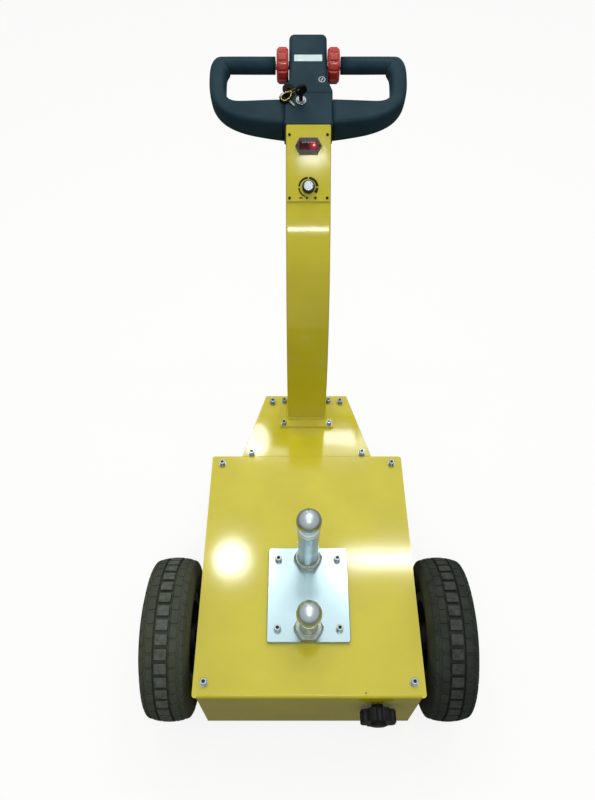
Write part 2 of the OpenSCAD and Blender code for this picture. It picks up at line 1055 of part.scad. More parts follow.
// Half section of a drive tyre: crown arc and bulging sides, cut back at the beads
module tyre_section() {
    difference() {
        intersection() {
            translate([tyre_d / 2 - crown_r, 0])
                circle(crown_r);
            translate([(tyre_d + rim_d) / 4, tyre_w / 2 - bulge_r])
                circle(bulge_r);
            translate([(tyre_d + rim_d) / 4, bulge_r - tyre_w / 2])
                circle(bulge_r);
            translate([rim_d / 2, -tyre_w])
                square([tyre_d, 2 * tyre_w]);
        }
        for (z = [-tyre_w - bead_half, bead_half])
            translate([0, z])
                square([rim_d / 2 + bead_lip, tyre_w]);
        for (z = [-groove_side, groove_side])
            translate([tyre_d / 2 - groove_depth, z - groove_w / 2])
                square([groove_depth + over, groove_w]);
    }
}

// Rubber tyre with two grooves round its tread
module tyre(side) {
    color(rubber)
        wheel_frame(side)
            rotate_extrude()
                tyre_section();
}

module tyre_left() {
    tyre(-1);
}

module tyre_right() {
    tyre(1);
}

// Half section of the rim: barrel, lips and the disc in it
module rim_section() {
    seat = rim_d / 2 - seat_gap;
    half = bead_half + seat_gap + rim_lip_t;
    translate([seat - rim_wall, -half])
        square([rim_wall, 2 * half]);
    for (z = [-half, half - rim_lip_t])
        translate([seat - rim_wall, z])
            square([rim_lip_h + rim_wall, rim_lip_t]);
    translate([pilot_d / 2 + seat_gap, disc_out])
        square([seat - rim_wall / 2 - pilot_d / 2 - seat_gap, disc_t]);
}

// Pressed steel rim
module rim(side) {
    color(zinc)
        wheel_frame(side)
            rotate_extrude()
                rim_section();
}

module rim_left() {
    rim(-1);
}

module rim_right() {
    rim(1);
}

// Wheel hub with its lug flange, and the half axle that runs in through the bearing
module wheel_hub(side) {
    flange_z = disc_out - lug_flange_t;
    boss_z = hub_inner_x - wheel_x;
    axle_in = drive_w / 2 + axle_gap - wheel_x;
    color(steel)
        wheel_frame(side) {
            translate([0, 0, flange_z])
                cylinder(d = lug_flange_d, h = lug_flange_t);
            cylinder(d = pilot_d, h = disc_out + disc_t);
            cylinder(d = nose_d, h = disc_out + disc_t + hub_nose);
            translate([0, 0, boss_z])
                cylinder(d = boss_d, h = -boss_z);
            translate([0, 0, axle_in])
                cylinder(d = axle_d, h = -axle_in);
        }
}

module hub_left() {
    wheel_hub(-1);
}

module hub_right() {
    wheel_hub(1);
}

chassis_tub();
main_cover();
tail_tub();
tail_cover();
hitch_plate();
tow_ball_short();
tow_ball_tall();
isolator_knob();
tiller_column();
control_panel();
battery_gauge();
gauge_lens();
speed_knob();
speed_knob_cap();
head_hub();
head_block();
loop_left();
loop_right();
throttle_left();
throttle_right();
throttle_shaft_left();
throttle_shaft_right();
key_switch();
key();
key_ring();
belly_button();
axle_bearing_left();
axle_bearing_right();
drive_unit();
battery_left();
battery_right();
caster_plate();
caster_fork();
caster_axle();
caster_tyre();
caster_core();
tyre_left();
rim_left();
hub_left();
tyre_right();
rim_right();
hub_right();
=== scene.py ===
# %% [markdown]
# # A walk-behind electric tow tug
# The tug is a box of yellow enamelled sheet steel on two drive wheels and a swivel caster. A bright hitch
# plate carries two tow balls, and a curved column ends in a moulded head with a loop handle. Its solids come
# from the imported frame. This lesson dresses them: it rounds the edges that a maker would round, adds the
# fasteners, the tread and the printed marks, and gives each surface the finish of its real material.

# %% Frame
import json
import math

import bmesh
import bpy
from mathutils import Matrix, Vector


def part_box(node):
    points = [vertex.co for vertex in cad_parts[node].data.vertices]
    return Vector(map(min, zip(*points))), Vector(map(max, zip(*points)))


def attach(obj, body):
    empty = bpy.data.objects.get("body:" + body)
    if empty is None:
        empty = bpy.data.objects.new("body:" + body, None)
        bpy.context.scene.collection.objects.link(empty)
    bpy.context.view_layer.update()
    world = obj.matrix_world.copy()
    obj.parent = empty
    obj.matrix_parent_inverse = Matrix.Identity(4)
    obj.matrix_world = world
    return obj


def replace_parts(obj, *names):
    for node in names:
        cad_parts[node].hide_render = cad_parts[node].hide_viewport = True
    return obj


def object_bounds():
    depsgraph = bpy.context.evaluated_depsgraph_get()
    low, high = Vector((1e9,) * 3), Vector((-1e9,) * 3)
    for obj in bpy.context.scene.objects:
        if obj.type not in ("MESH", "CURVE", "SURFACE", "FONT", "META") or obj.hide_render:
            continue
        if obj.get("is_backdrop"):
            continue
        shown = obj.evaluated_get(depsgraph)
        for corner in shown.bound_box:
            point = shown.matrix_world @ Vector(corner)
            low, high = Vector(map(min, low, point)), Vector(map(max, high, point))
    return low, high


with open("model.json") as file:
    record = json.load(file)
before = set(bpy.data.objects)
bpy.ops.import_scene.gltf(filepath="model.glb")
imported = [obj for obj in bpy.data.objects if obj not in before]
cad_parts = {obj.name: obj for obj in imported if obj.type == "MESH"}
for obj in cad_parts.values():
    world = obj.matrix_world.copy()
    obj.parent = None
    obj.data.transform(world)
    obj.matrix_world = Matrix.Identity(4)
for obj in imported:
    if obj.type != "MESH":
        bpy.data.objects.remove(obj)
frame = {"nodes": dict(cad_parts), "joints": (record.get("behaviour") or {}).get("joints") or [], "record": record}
cad_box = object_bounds()
nodes = frame["nodes"]
bodies = frame["record"]["behaviour"]["bodies"]
body_of_node = {node: body for body, members in bodies.items() for node in members}
slot_of_node = {part["node"]: part["material_slot"] for part in frame["record"]["subparts"]}
joint_at = {joint["name"]: Vector(joint["pos_m"]) for joint in frame["joints"]}
print(len(nodes), "nodes, box", [[round(v, 3) for v in corner] for corner in cad_box])

# %% [markdown]
# ## Places to work from
# Every detail sits on something, so it is drawn in millimetres in the frame of the face that carries it, and
# one matrix takes it to metres. The cover's frame starts at the middle of its front edge. The panel and the
# head share the edge at the top of the column, and each has its own slope there. The hub's box gives that
# edge: the hub begins a little in front of it, and its sloping top face passes through it. A wheel's frame
# has its Z along the axle, away from the tug.

# %% Frames of the faces that carry details
MM = 0.001
TO_METRES = Matrix.Scale(MM, 4)
cover_low, cover_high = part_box("main_cover")
COVER = Matrix.Translation((0, cover_low.y, cover_high.z)) @ TO_METRES

PANEL_SLOPE, HEAD_SLOPE = math.radians(44), math.radians(20)
HUB_LEAD, HUB_BACK = 6, 70
hub_low, hub_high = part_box("head_hub")
edge_y = hub_low.y + HUB_LEAD * MM * math.cos(HEAD_SLOPE)
edge_z = hub_high.z - HUB_BACK * MM * math.sin(HEAD_SLOPE)
column_edge = Matrix.Translation((0, edge_y, edge_z))
PANEL = column_edge @ Matrix.Rotation(PANEL_SLOPE, 4, "X") @ TO_METRES
HEAD = column_edge @ Matrix.Rotation(HEAD_SLOPE, 4, "X") @ TO_METRES

WHEEL = {}
for name, side in (("left", -1), ("right", 1)):
    outward = Matrix.Rotation(side * math.pi / 2, 4, "Y")
    WHEEL[name] = Matrix.Translation(joint_at[name + "_wheel_spin"]) @ outward @ TO_METRES
print("column edge at y", round(edge_y, 4), "z", round(edge_z, 4))

# %% [markdown]
# ## Camera
# The photograph looks steeply down from the hitch end. A pinhole camera was fitted to the cover's corners
# and the handle, so the camera's height, distance, pitch and focal length aren't guesses by eye.

# %% Camera
IMAGE_HEIGHT = 800
FOCAL_PIXELS = 660
SENSOR = 36
CAMERA_PITCH = math.radians(53.4)
CAMERA_SIDE, CAMERA_BACK, CAMERA_HEIGHT = -22, 291, 1604

camera_data = bpy.data.cameras.new("camera")
camera_data.sensor_width = SENSOR
camera_data.lens = SENSOR * FOCAL_PIXELS / IMAGE_HEIGHT
camera = bpy.data.objects.new("camera", camera_data)
camera.location = (CAMERA_SIDE * MM, cover_low.y - CAMERA_BACK * MM, CAMERA_HEIGHT * MM)
camera.rotation_euler = (math.pi / 2 - CAMERA_PITCH, 0, 0)
bpy.context.scene.collection.objects.link(camera)
bpy.context.scene.camera = camera
print("lens", round(camera_data.lens, 2), "mm")

# %% [markdown]
# ## Adding nodes
# A material is a small graph. One function adds any node, sets its properties, and fills its inputs: a value
# is set on the socket, and another node's output is linked to it. Colours are written as the sRGB hex values
# that a paint chart or a picture gives, and one function turns them to the linear values that light needs.

# %% Node and colour helpers
def add(tree, kind, inputs=None, **settings):
    """Adds a shader node; inputs are values, or other nodes' outputs to link."""
    node = tree.nodes.new("ShaderNode" + kind)
    for name, value in settings.items():
        setattr(node, name, value)
    for key, value in (inputs or {}).items():
        if isinstance(value, bpy.types.NodeSocket):
            tree.links.new(value, node.inputs[key])
        else:
            node.inputs[key].default_value = value
    return node


def linear(colour):
    """Linear RGBA of an sRGB hex colour, by the sRGB standard's own formula."""
    parts = [int(colour[i:i + 2], 16) / 255 for i in (1, 3, 5)]
    return [p / 12.92 if p <= 0.04045 else ((p + 0.055) / 1.055) ** 2.4 for p in parts] + [1.0]


print("mid grey is", [round(v, 3) for v in linear("#808080")])

# %% [markdown]
# ## Studio
# The tug stood in a hall under ceiling lamps, so its top faces are bright and its apron is in shade. A very
# soft sun from above and a little behind gives that without a fall-off across the floor. The floor and the
# world are white to the eye and pale in reflections, but greyer as sources of light, or a white floor would
# fill the shade under the cover. Small lamps hang where the enamel mirrors them at the glares of the
# photograph: two over the cover, one over the tail and two in front of the column. The handle hides part of
# the one over the tail, so two small ones hang lower, under the handle's arms, and face the tail from there.

# %% Floor and world
HALL = {"camera": 0.955, "mirrored": 0.62, "soft": 0.46}
FLOOR_GLOW = {"camera": 0.85, "mirrored": 0.06, "soft": 0.0}
FLOOR_TONE = "#6a6a68"
FLOOR_HALF = 9
WHITE = (1, 1, 1, 1)


def strength_by_ray(tree, camera, mirrored, soft):
    """A strength for rays from the camera, one for rays from a mirror or window, and one for soft light."""
    path = add(tree, "LightPath").outputs
    rays = {0: path["Is Glossy Ray"], 1: path["Is Transmission Ray"]}
    shiny = add(tree, "Math", rays, operation="MAXIMUM")
    level = add(tree, "MapRange", {"Value": shiny.outputs[0], "To Min": soft, "To Max": mirrored})
    return add(
        tree, "MapRange", {"Value": path["Is Camera Ray"], "To Min": level.outputs[0], "To Max": camera},
    ).outputs[0]


world = bpy.data.worlds.new("white_hall")
world.use_nodes = True
sky = world.node_tree
sky.nodes.clear()
background = add(sky, "Background", {"Color": WHITE, "Strength": strength_by_ray(sky, **HALL)})
add(sky, "OutputWorld", {"Surface": background.outputs[0]})
bpy.context.scene.world = world

floor_finish = bpy.data.materials.new("pale_floor")
floor_finish.use_nodes = True
tree = floor_finish.node_tree
tree.nodes.clear()
matt = add(tree, "BsdfDiffuse", {"Color": linear(FLOOR_TONE)})
white = add(tree, "Emission", {"Color": WHITE, "Strength": strength_by_ray(tree, **FLOOR_GLOW)})
both = add(tree, "AddShader", {0: matt.outputs[0], 1: white.outputs[0]})
add(tree, "OutputMaterial", {"Surface": both.outputs[0]})

corners = [(x * FLOOR_HALF, y * FLOOR_HALF, 0) for x, y in ((-1, -1), (1, -1), (1, 1), (-1, 1))]
floor_mesh = bpy.data.meshes.new("floor")
floor_mesh.from_pydata(corners, [], [(0, 1, 2, 3)])
floor_mesh.materials.append(floor_finish)
floor = bpy.data.objects.new("floor", floor_mesh)
bpy.context.scene.collection.objects.link(floor)
floor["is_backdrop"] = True
bpy.context.scene.view_settings.view_transform = "Standard"
print("floor", 2 * FLOOR_HALF, "m wide")

# %% Lamps
LAMP_HEIGHT = 2.6
LOW_HEIGHT = 0.7


def lamp(name, kind, energy, spot, tilt, height=LAMP_HEIGHT, **settings):
    """Hangs a lamp over a spot of the floor; the tilt about X, in degrees, is away from straight down."""
    data = bpy.data.lights.new(name, kind)
    data.energy = energy
    for key, value in settings.items():
        setattr(data, key, value)
    obj = bpy.data.objects.new(name, data)
    obj.location = (*spot, height)
    obj.visible_camera = False
    obj.rotation_euler = (math.radians(tilt), 0, 0)
    bpy.context.scene.collection.objects.link(obj)


lamp("ceiling", "SUN", 0.78, (0, 0), -7, angle=math.radians(60))
lamp("round_lamp", "AREA", 3.8, (-0.408, 0.70), -16, shape="DISK", size=0.2)
lamp("strip_lamp", "AREA", 5.0, (0.5, 0.7), -16, shape="RECTANGLE", size=0.5, size_y=0.08)
lamp("rear_tube", "AREA", 4.0, (0.025, 1.53), -34, shape="RECTANGLE", size=0.9, size_y=0.15)
lamp("tail_lamp_left", "AREA", 0.42, (-0.15, 0.292), 0, LOW_HEIGHT, shape="ELLIPSE", size=0.075, size_y=0.12)
lamp("tail_lamp_right", "AREA", 0.3, (0.11, 0.302), 0, LOW_HEIGHT, shape="RECTANGLE", size=0.1, size_y=0.055)
lamp("front_tube", "AREA", 8.0, (0.0, -1.5), 42, shape="RECTANGLE", size=1.2, size_y=0.06)
lamp("front_lamp", "AREA", 0.6, (0.055, -0.756), 20, shape="RECTANGLE", size=0.12, size_y=0.05)
print(len(bpy.data.lights), "lamps")

# %% [markdown]
# ## A surface that isn't one flat colour
# Real finishes drift a little in tone and gloss, and have a fine texture of their own. One function starts
# each material with those three things: two tones in soft patches, a roughness that follows the patches, and
# a grain in the normal. The sizes are millimetres on the object, so each pattern has its real scale.

# %% Starting a finish
def finish(name, tone, shade, patch, rough, grain, depth, spread=0.06, stretch=(1, 1, 1), **sockets):
    """Starts a material; patch, grain and depth are in millimetres. Returns it, its tree and its shader."""
    material = bpy.data.materials.new(name)
    material.use_nodes = True
    tree = material.node_tree
    tree.nodes.clear()
    place = add(tree, "TexCoord").outputs["Object"]
    place = add(tree, "Mapping", {"Vector": place, "Scale": stretch}).outputs["Vector"]
    patches = add(tree, "TexNoise", {"Vector": place, "Scale": 1 / (patch * MM), "Detail": 4.0}).outputs[0]
    patches = add(tree, "MapRange", {"Value": patches, "From Min": 0.35, "From Max": 0.65}).outputs[0]
    colour = add(tree, "Mix", {0: patches, 6: linear(tone), 7: linear(shade)}, data_type="RGBA").outputs[2]
    range_of_gloss = {"To Min": rough - spread, "To Max": rough + spread}
    gloss = add(tree, "MapRange", {"Value": patches, **range_of_gloss}).outputs[0]
    bumps = add(tree, "TexNoise", {"Vector": place, "Scale": 1 / (grain * MM), "Detail": 2.0}).outputs[0]
    normal = add(tree, "Bump", {"Height": bumps, "Distance": depth * MM}).outputs[0]
    inputs = {"Base Color": colour, "Roughness": gloss, "Normal": normal}
    inputs.update({key.replace("_", " "): value for key, value in sockets.items()})
    shader = add(tree, "BsdfPrincipled", inputs)
    add(tree, "OutputMaterial", {"Surface": shader.outputs[0]})
    return material, tree, shader


def tint(tree, shader, mask, colour):
    """Lays another colour over a material's own where the mask is 1."""
    own = shader.inputs["Base Color"].links[0].from_socket
    mixed = add(tree, "Mix", {0: mask, 6: own, 7: linear(colour)}, data_type="RGBA").outputs[2]
    tree.links.new(mixed, shader.inputs["Base Color"])


# %% [markdown]
# ## Enamel on sheet steel
# The body is stove enamel sprayed on steel: a smooth gloss coat over a full yellow. Spray leaves a fine
# orange peel of a few millimetres, which breaks up the edges of reflections. The sharp edges are a little
# paler, partly as handling wear and partly as a painted highlight: the Bevel node finds them, because its
# rounded normal differs from the true one there. One chip near the front edge shows the grey primer.

# %% Enamel
EDGE_PALING_R = 2.0
enamel, tree, shader = finish(
    "yellow_stove_enamel", "#ccc128", "#c4b821", patch=120, rough=0.1, grain=4, depth=0.01, spread=0.015,
)
# Paler edges: partly wear, partly a painted highlight along them.
rounded = add(tree, "Bevel", {"Radius": EDGE_PALING_R * MM}, samples=4).outputs[0]
true_normal = add(tree, "NewGeometry").outputs["True Normal"]
bend = add(tree, "VectorMath", {0: rounded, 1: true_normal}, operation="DOT_PRODUCT").outputs["Value"]
wear_and_highlight = {"From Min": 0.97, "From Max": 0.75, "To Max": 0.35}
rubbed_and_lit = add(tree, "MapRange", {"Value": bend, **wear_and_highlight}).outputs[0]
tint(tree, shader, rubbed_and_lit, "#e6dc7c")

CHIP = COVER @ Vector((108, 9, 0))
CHIP_R, CHIP_RAGS = 1.8, 3
spot = add(tree, "TexCoord").outputs["Object"]
ragged = add(tree, "TexNoise", {"Vector": spot, "Scale": 1 / (CHIP_RAGS * MM)}).outputs[0]
ragged = add(tree, "MapRange", {"Value": ragged, "To Min": -CHIP_R * MM, "To Max": CHIP_R * MM}).outputs[0]
away = add(tree, "VectorMath", {0: spot, 1: CHIP}, operation="DISTANCE").outputs["Value"]
away = add(tree, "Math", {0: away, 1: ragged}, operation="ADD").outputs[0]
chipped = add(tree, "Math", {0: away, 1: CHIP_R * MM}, operation="LESS_THAN").outputs[0]
tint(tree, shader, chipped, "#3d3c33")
print(enamel.name, len(tree.nodes), "nodes")

# %% [markdown]
# ## Metals
# The hitch plate is cold-rolled and zinc-plated, so it is pale, bluish and satin with lines along the
# rolling direction. The tow balls are turned, which leaves fine rings round their axis; their hexagon feet
# are painted a darker olive, as painted shade near the plate. Stretching the noise draws both: a small
# scale along a direction makes lines that run that way.
# Lines this fine wouldn't show in the picture, so they are drawn about a millimetre wide. The smaller metals
# differ mainly in tone and roughness, and a line before each says what that gives the eye.

# %% Hitch plate and tow balls
HEX_H, FOOT_SHADE_FADE = 16, 1.5
zinc_plate, _, _ = finish(
    "zinc_plated_steel", "#a2b7bc", "#93a9af", patch=70, rough=0.2, grain=1.2, depth=0.006, spread=0.05,
    stretch=(1, 0.04, 1), Metallic=1.0,
)
turned_steel, tree, shader = finish(
    "turned_steel", "#cad6d8", "#bdcacd", patch=26, rough=0.35, grain=1.0, depth=0.004, spread=0.03,
    stretch=(0.06, 0.06, 1), Metallic=1.0,
)
# The hexagon feet are painted darker: painted shade, fading out just above the foot.
foot_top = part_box("tow_ball_tall")[0].z + HEX_H * MM
height = add(tree, "SeparateXYZ", {0: add(tree, "TexCoord").outputs["Object"]}).outputs["Z"]
painted_fade = {"From Min": foot_top, "From Max": foot_top + FOOT_SHADE_FADE * MM, "To Min": 0.85, "To Max": 0.0}
tint(tree, shader, add(tree, "MapRange", {"Value": height, **painted_fade}).outputs[0], "#747a6a")
print(turned_steel.name, "painted shade up to", round(foot_top, 4), "m")

# %% Metals of the fittings
# Zinc plating leaves screws with a greyish shine that varies from patch to patch.
bright_zinc, _, _ = finish(
    "bright_zinc", "#a5aeaf", "#858f91", patch=6, rough=0.28, grain=0.9, depth=0.006, Metallic=1.0,
)
# Machined steel is a plain mid grey with a soft shine.
machined_steel, _, _ = finish(
    "machined_steel", "#a4a8ab", "#85898c", patch=14, rough=0.34, grain=0.8, depth=0.008, Metallic=1.0,
)
# Galvanised steel is cloudy and rather dull.
galvanised, _, _ = finish(
    "galvanised_steel", "#a3a8ab", "#858b8f", patch=16, rough=0.42, grain=1.4, depth=0.012, Metallic=1.0,
)
# Oily steel, darkened further as painted shade, reads as a dark hole in a bright screw.
oily_steel_and_painted_shade, _, _ = finish(
    "oily_steel_and_painted_shade", "#2b2e2d", "#1d201f", patch=4, rough=0.5, grain=0.8, depth=0.01, Metallic=1.0,
)
# Spun aluminium is whiter than steel and has a soft highlight.
spun_aluminium, _, _ = finish(
    "spun_aluminium", "#b8c1c5", "#9fa9ae", patch=5, rough=0.3, grain=0.7, depth=0.006, Metallic=1.0,
)
# A casting keeps the rough, matt skin of its mould.
cast_aluminium, _, _ = finish(
    "cast_aluminium", "#9b9d9e", "#7f8284", patch=20, rough=0.55, grain=1.5, depth=0.05, Metallic=1.0,
)
# The rims are pressed steel under a satin black enamel with a trace of green.
black_enamel, _, _ = finish(
    "black_rim_enamel", "#35382f", "#2b2e27", patch=40, rough=0.38, grain=2.0, depth=0.01,
    Specular_IOR_Level=0.3,
)
# Chrome is the smoothest, and mirrors the dark head and the pale hall.
chrome, _, _ = finish(
    "chrome", "#a2a8ab", "#8b9195", patch=8, rough=0.16, grain=1.5, depth=0.004, Metallic=1.0,
)
# Nickel silver, the metal of key blades, is a dull warm grey.
nickel_silver, _, _ = finish(
    "nickel_silver", "#858886", "#6a6d6b", patch=6, rough=0.3, grain=0.8, depth=0.006, Metallic=1.0,
)
# Drawn brass wire is a pale yellow with a bright line along it.
brass_wire, _, _ = finish(
    "brass_wire", "#d0c572", "#b9ab55", patch=5, rough=0.3, grain=0.6, depth=0.006, Metallic=1.0,
)
print(len(bpy.data.materials), "materials so far")

# %% [markdown]
# ## Plastics, inks and rubber
# The head is moulded ABS with a spark-eroded grain, which scatters light and makes the slate grey look soft.
# The gauge's window is red acrylic, with a painted glow round the one diode that is alight in it: the
# distance from the diode drives the glow, so it fades outwards as real light does. Rubber is the darkest
# and the dullest.
# A dust of the floor clings to it, more on the crown of the tread, which touches the ground, and more of
# it on the left tyre than on the right. The left tyre is also painted a paler olive all over, as painted
# bounce light from the yellow box.

# %% Plastics of the head and the knobs
head_abs, _, _ = finish(
    "grained_abs_slate", "#253b44", "#1f343d", patch=60, rough=0.45, grain=1.1, depth=0.03,
    Specular_IOR_Level=0.06,
)
# A polished mould gives the red throttles small, sharp glares.
red_abs, _, _ = finish(
    "gloss_abs_red", "#b93329", "#a82a22", patch=18, rough=0.14, grain=1.6, depth=0.008,
    Specular_IOR_Level=0.5,
)
# A fine mould texture keeps the knobs black from every side.
black_abs, _, _ = finish(
    "black_abs", "#1b1d1c", "#141615", patch=14, rough=0.4, grain=0.9, depth=0.02, Specular_IOR_Level=0.14,
)
# The bows of the keys are worn dull.
key_abs, _, _ = finish(
    "black_key_abs", "#171815", "#10110e", patch=8, rough=0.6, grain=0.8, depth=0.02,
    Specular_IOR_Level=0.08,
)
# The gauge's bezel is a brownish black with a soft gloss.
bezel_abs, _, _ = finish("bezel_abs", "#3a3234", "#302a2c", patch=12, rough=0.32, grain=0.8, depth=0.01)
print(len(bpy.data.materials), "materials so far")

# %% Window and diode of the gauge
PANEL_T, GAUGE_T, GAUGE_DROP = 3, 7, 49
GAUGE = PANEL @ Matrix.Translation((0, -GAUGE_DROP, PANEL_T + GAUGE_T))
DIODE_AT = Vector((11, 1, 0))
PAINTED_GLOW_R = 12
tinted_acrylic, tree, shader = finish(
    "tinted_acrylic", "#4a1118", "#340c12", patch=14, rough=0.2, grain=6, depth=0.004, spread=0.03,
    Specular_IOR_Level=0.05, Emission_Color=linear("#ff4a58"),
)
# Painted glow: the window shines by itself round the diode, brightest at it.
spot = add(tree, "TexCoord").outputs["Object"]
away = add(tree, "VectorMath", {0: spot, 1: GAUGE @ DIODE_AT}, operation="DISTANCE").outputs["Value"]
painted_fade = {"From Max": PAINTED_GLOW_R * MM, "To Min": 0.5, "To Max": 0.0}
painted_glow = add(tree, "MapRange", {"Value": away, **painted_fade}).outputs[0]
tree.links.new(painted_glow, shader.inputs["Emission Strength"])
# The diode itself is a small hot spot of light.
lit_diode, _, _ = finish(
    "lit_diode", "#ff6a5e", "#ff4a40", patch=2, rough=0.2, grain=0.5, depth=0.004,
    Emission_Color=linear("#ff8f88"), Emission_Strength=2.6,
)
print(tinted_acrylic.name, len(tree.nodes), "nodes")

# %% Other plastics, caster rubber and inks
# The caster's core is a half matt grey moulding.
polyamide, _, _ = finish("grey_polyamide", "#76797b", "#686b6d", patch=12, rough=0.45, grain=0.9, depth=0.02)
# Battery cases are a waxy, half matt black.
polypropylene, _, _ = finish(
    "black_polypropylene", "#232425", "#1b1c1d", patch=30, rough=0.5, grain=1.2, depth=0.03,
)
# Caster rubber is a dull dark grey.
caster_rubber, _, _ = finish(
    "caster_rubber", "#38393a", "#2b2c2d", patch=18, rough=0.7, grain=1.2, depth=0.05,
    Specular_IOR_Level=0.3,
)
# The label is a pale bluish film with a soft sheen.
vinyl, _, _ = finish("pale_vinyl", "#c9dbde", "#bed1d5", patch=20, rough=0.35, grain=1.0, depth=0.004)
# Screen inks lie thick and matt, so they read as flat black and flat white.
black_ink, _, _ = finish(
    "black_screen_ink", "#1f1e18", "#17160f", patch=5, rough=0.5, grain=0.5, depth=0.004,
    Specular_IOR_Level=0.1,
)
white_ink, _, _ = finish(
    "white_screen_ink", "#c4d0d4", "#b2bec3", patch=4, rough=0.5, grain=0.5, depth=0.004,
)
print(len(bpy.data.materials), "materials so far")

# %% Tyre rubber
TYRE_R = 165
DUST_START, DUST_FULL = 1.4, 0.6
SCUFF = 9
SIDE_SPAN = {"From Min": -0.2, "From Max": 0.2}
tyre_rubber, tree, shader = finish(
    "tyre_rubber", "#2b312a", "#21261f", patch=34, rough=0.74, grain=1.3, depth=0.06, Specular_IOR_Level=0.3,
)
spot = add(tree, "TexCoord").outputs["Object"]
axle = joint_at["left_wheel_spin"]
from_axle = add(tree, "VectorMath", {0: spot, 1: axle}, operation="SUBTRACT").outputs[0]
from_axle = add(tree, "VectorMath", {0: from_axle, 1: (0, 1, 1)}, operation="MULTIPLY").outputs[0]
reach = add(tree, "VectorMath", {0: from_axle}, operation="LENGTH").outputs["Value"]
rise = {"From Min": (TYRE_R - DUST_START) * MM, "From Max": (TYRE_R - DUST_FULL) * MM, "To Max": 0.7}
crown = add(tree, "MapRange", {"Value": reach, **rise}).outputs[0]
scuffs = add(tree, "TexNoise", {"Vector": spot, "Scale": 1 / (SCUFF * MM), "Detail": 5.0}).outputs[0]
scuffs = add(tree, "MapRange", {"Value": scuffs, "From Min": 0.3, "From Max": 0.6}).outputs[0]
dusty = add(tree, "Math", {0: crown, 1: scuffs}, operation="MULTIPLY").outputs[0]
across = add(tree, "SeparateXYZ", {0: spot}).outputs["X"]
by_side = add(tree, "MapRange", {"Value": across, **SIDE_SPAN, "To Min": 1.0, "To Max": 0.4}).outputs[0]
dusty = add(tree, "Math", {0: dusty, 1: by_side}, operation="MULTIPLY").outputs[0]
# Painted bounce light: the left tyre is lifted towards olive, and the right one is not.
painted_bounce = add(tree, "MapRange", {"Value": across, **SIDE_SPAN, "To Min": 0.34, "To Max": 0.0}).outputs[0]
tint(tree, shader, painted_bounce, "#5b604e")
tint(tree, shader, dusty, "#5d665f")
print(tyre_rubber.name, len(tree.nodes), "nodes")

# %% [markdown]
# ## Dressing the CAD nodes
# The record gives each node a material slot, and each slot has one finish here. Every node gets it, also the
# masses that are shut inside the box, so that no surface is left in a plain colour.

# %% Finish of each slot
FINISHES = {
    "yellow_paint": enamel, "zinc_plate": zinc_plate, "tow_ball_steel": turned_steel,
    "black_plastic": black_abs, "gauge_lens": tinted_acrylic, "bright_cap": spun_aluminium,
    "head_plastic": head_abs, "red_plastic": red_abs, "machined_steel": machined_steel,
    "ring_brass": brass_wire, "drive_case": cast_aluminium, "battery_case": polypropylene,
    "caster_rubber": caster_rubber, "caster_core": polyamide, "tyre_rubber": tyre_rubber,
    "rim_steel": black_enamel,
}
for name, obj in nodes.items():
    obj.data.materials.clear()
    obj.data.materials.append(FINISHES[slot_of_node[name]])
print(len(nodes), "nodes dressed in", len(FINISHES), "finishes")

# %% [markdown]
# ## Showing a piece
# A piece is a mesh that rides on a CAD body. No real edge is perfectly sharp: a bevel of a millimetre
# catches the light along it, and weighted normals keep the flat faces flat beside it. The modifiers are
# turned into plain mesh at once, so that the piece is final when it is handed on.

# %% Making a piece
SHARP_ANGLE, BEVEL_ANGLE = math.radians(38), math.radians(32)


def settled(obj):
    """Turns an object's modifiers into its own mesh."""
    bpy.context.view_layer.update()
    mesh = bpy.data.meshes.new_from_object(obj.evaluated_get(bpy.context.evaluated_depsgraph_get()))
    obj.modifiers.clear()
    obj.data = mesh


def piece(name, bm, material, body, bevel=0, segments=2, subdivide=0):
    """Makes a piece of a mesh in metres; bevel is in millimetres."""
    bmesh.ops.recalc_face_normals(bm, faces=bm.faces)
    mesh = bpy.data.meshes.new(name)
    bm.to_mesh(mesh)
    bm.free()
    mesh.materials.append(material)
    mesh.shade_smooth()
    if not subdivide:
        mesh.set_sharp_from_angle(angle=SHARP_ANGLE)
    obj = bpy.data.objects.new(name, mesh)
    bpy.context.scene.collection.objects.link(obj)
    if bevel:
        edges = obj.modifiers.new("bevel", "BEVEL")
        edges.width = bevel * MM
        edges.segments = segments
        edges.limit_method = "ANGLE"
        edges.angle_limit = BEVEL_ANGLE
    if subdivide:
        obj.modifiers.new("subdivide", "SUBSURF").levels = subdivide
    else:
        obj.modifiers.new("flat_faces", "WEIGHTED_NORMAL").keep_sharp = True
    settled(obj)
    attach(obj, body)
    print(name, len(obj.data.polygons), "faces")
    return obj


# %% [markdown]
# ## Rounded copies of the solids
# The solids of the frame have sharp edges. A copy of each visible one is cleaned (its triangles are joined
# back into whole faces) and bevelled by what the real process leaves: about a millimetre or less on sheet,
# plate and turned parts, and up to two and a half on the knob and the push pad, which are made for a hand.
# The copy stands in for the node, which stays as it is.

# %% Rounded copies
SAME_POINT, SAME_PLANE = 0.002, math.radians(0.4)


def cleaned(node):
    """A CAD node's mesh with its points merged and its flat faces made whole."""
    bm = bmesh.new()
    bm.from_mesh(nodes[node].data)
    bmesh.ops.remove_doubles(bm, verts=bm.verts, dist=SAME_POINT * MM)
    bmesh.ops.dissolve_limit(bm, angle_limit=SAME_PLANE, verts=bm.verts, edges=bm.edges)
    return bm


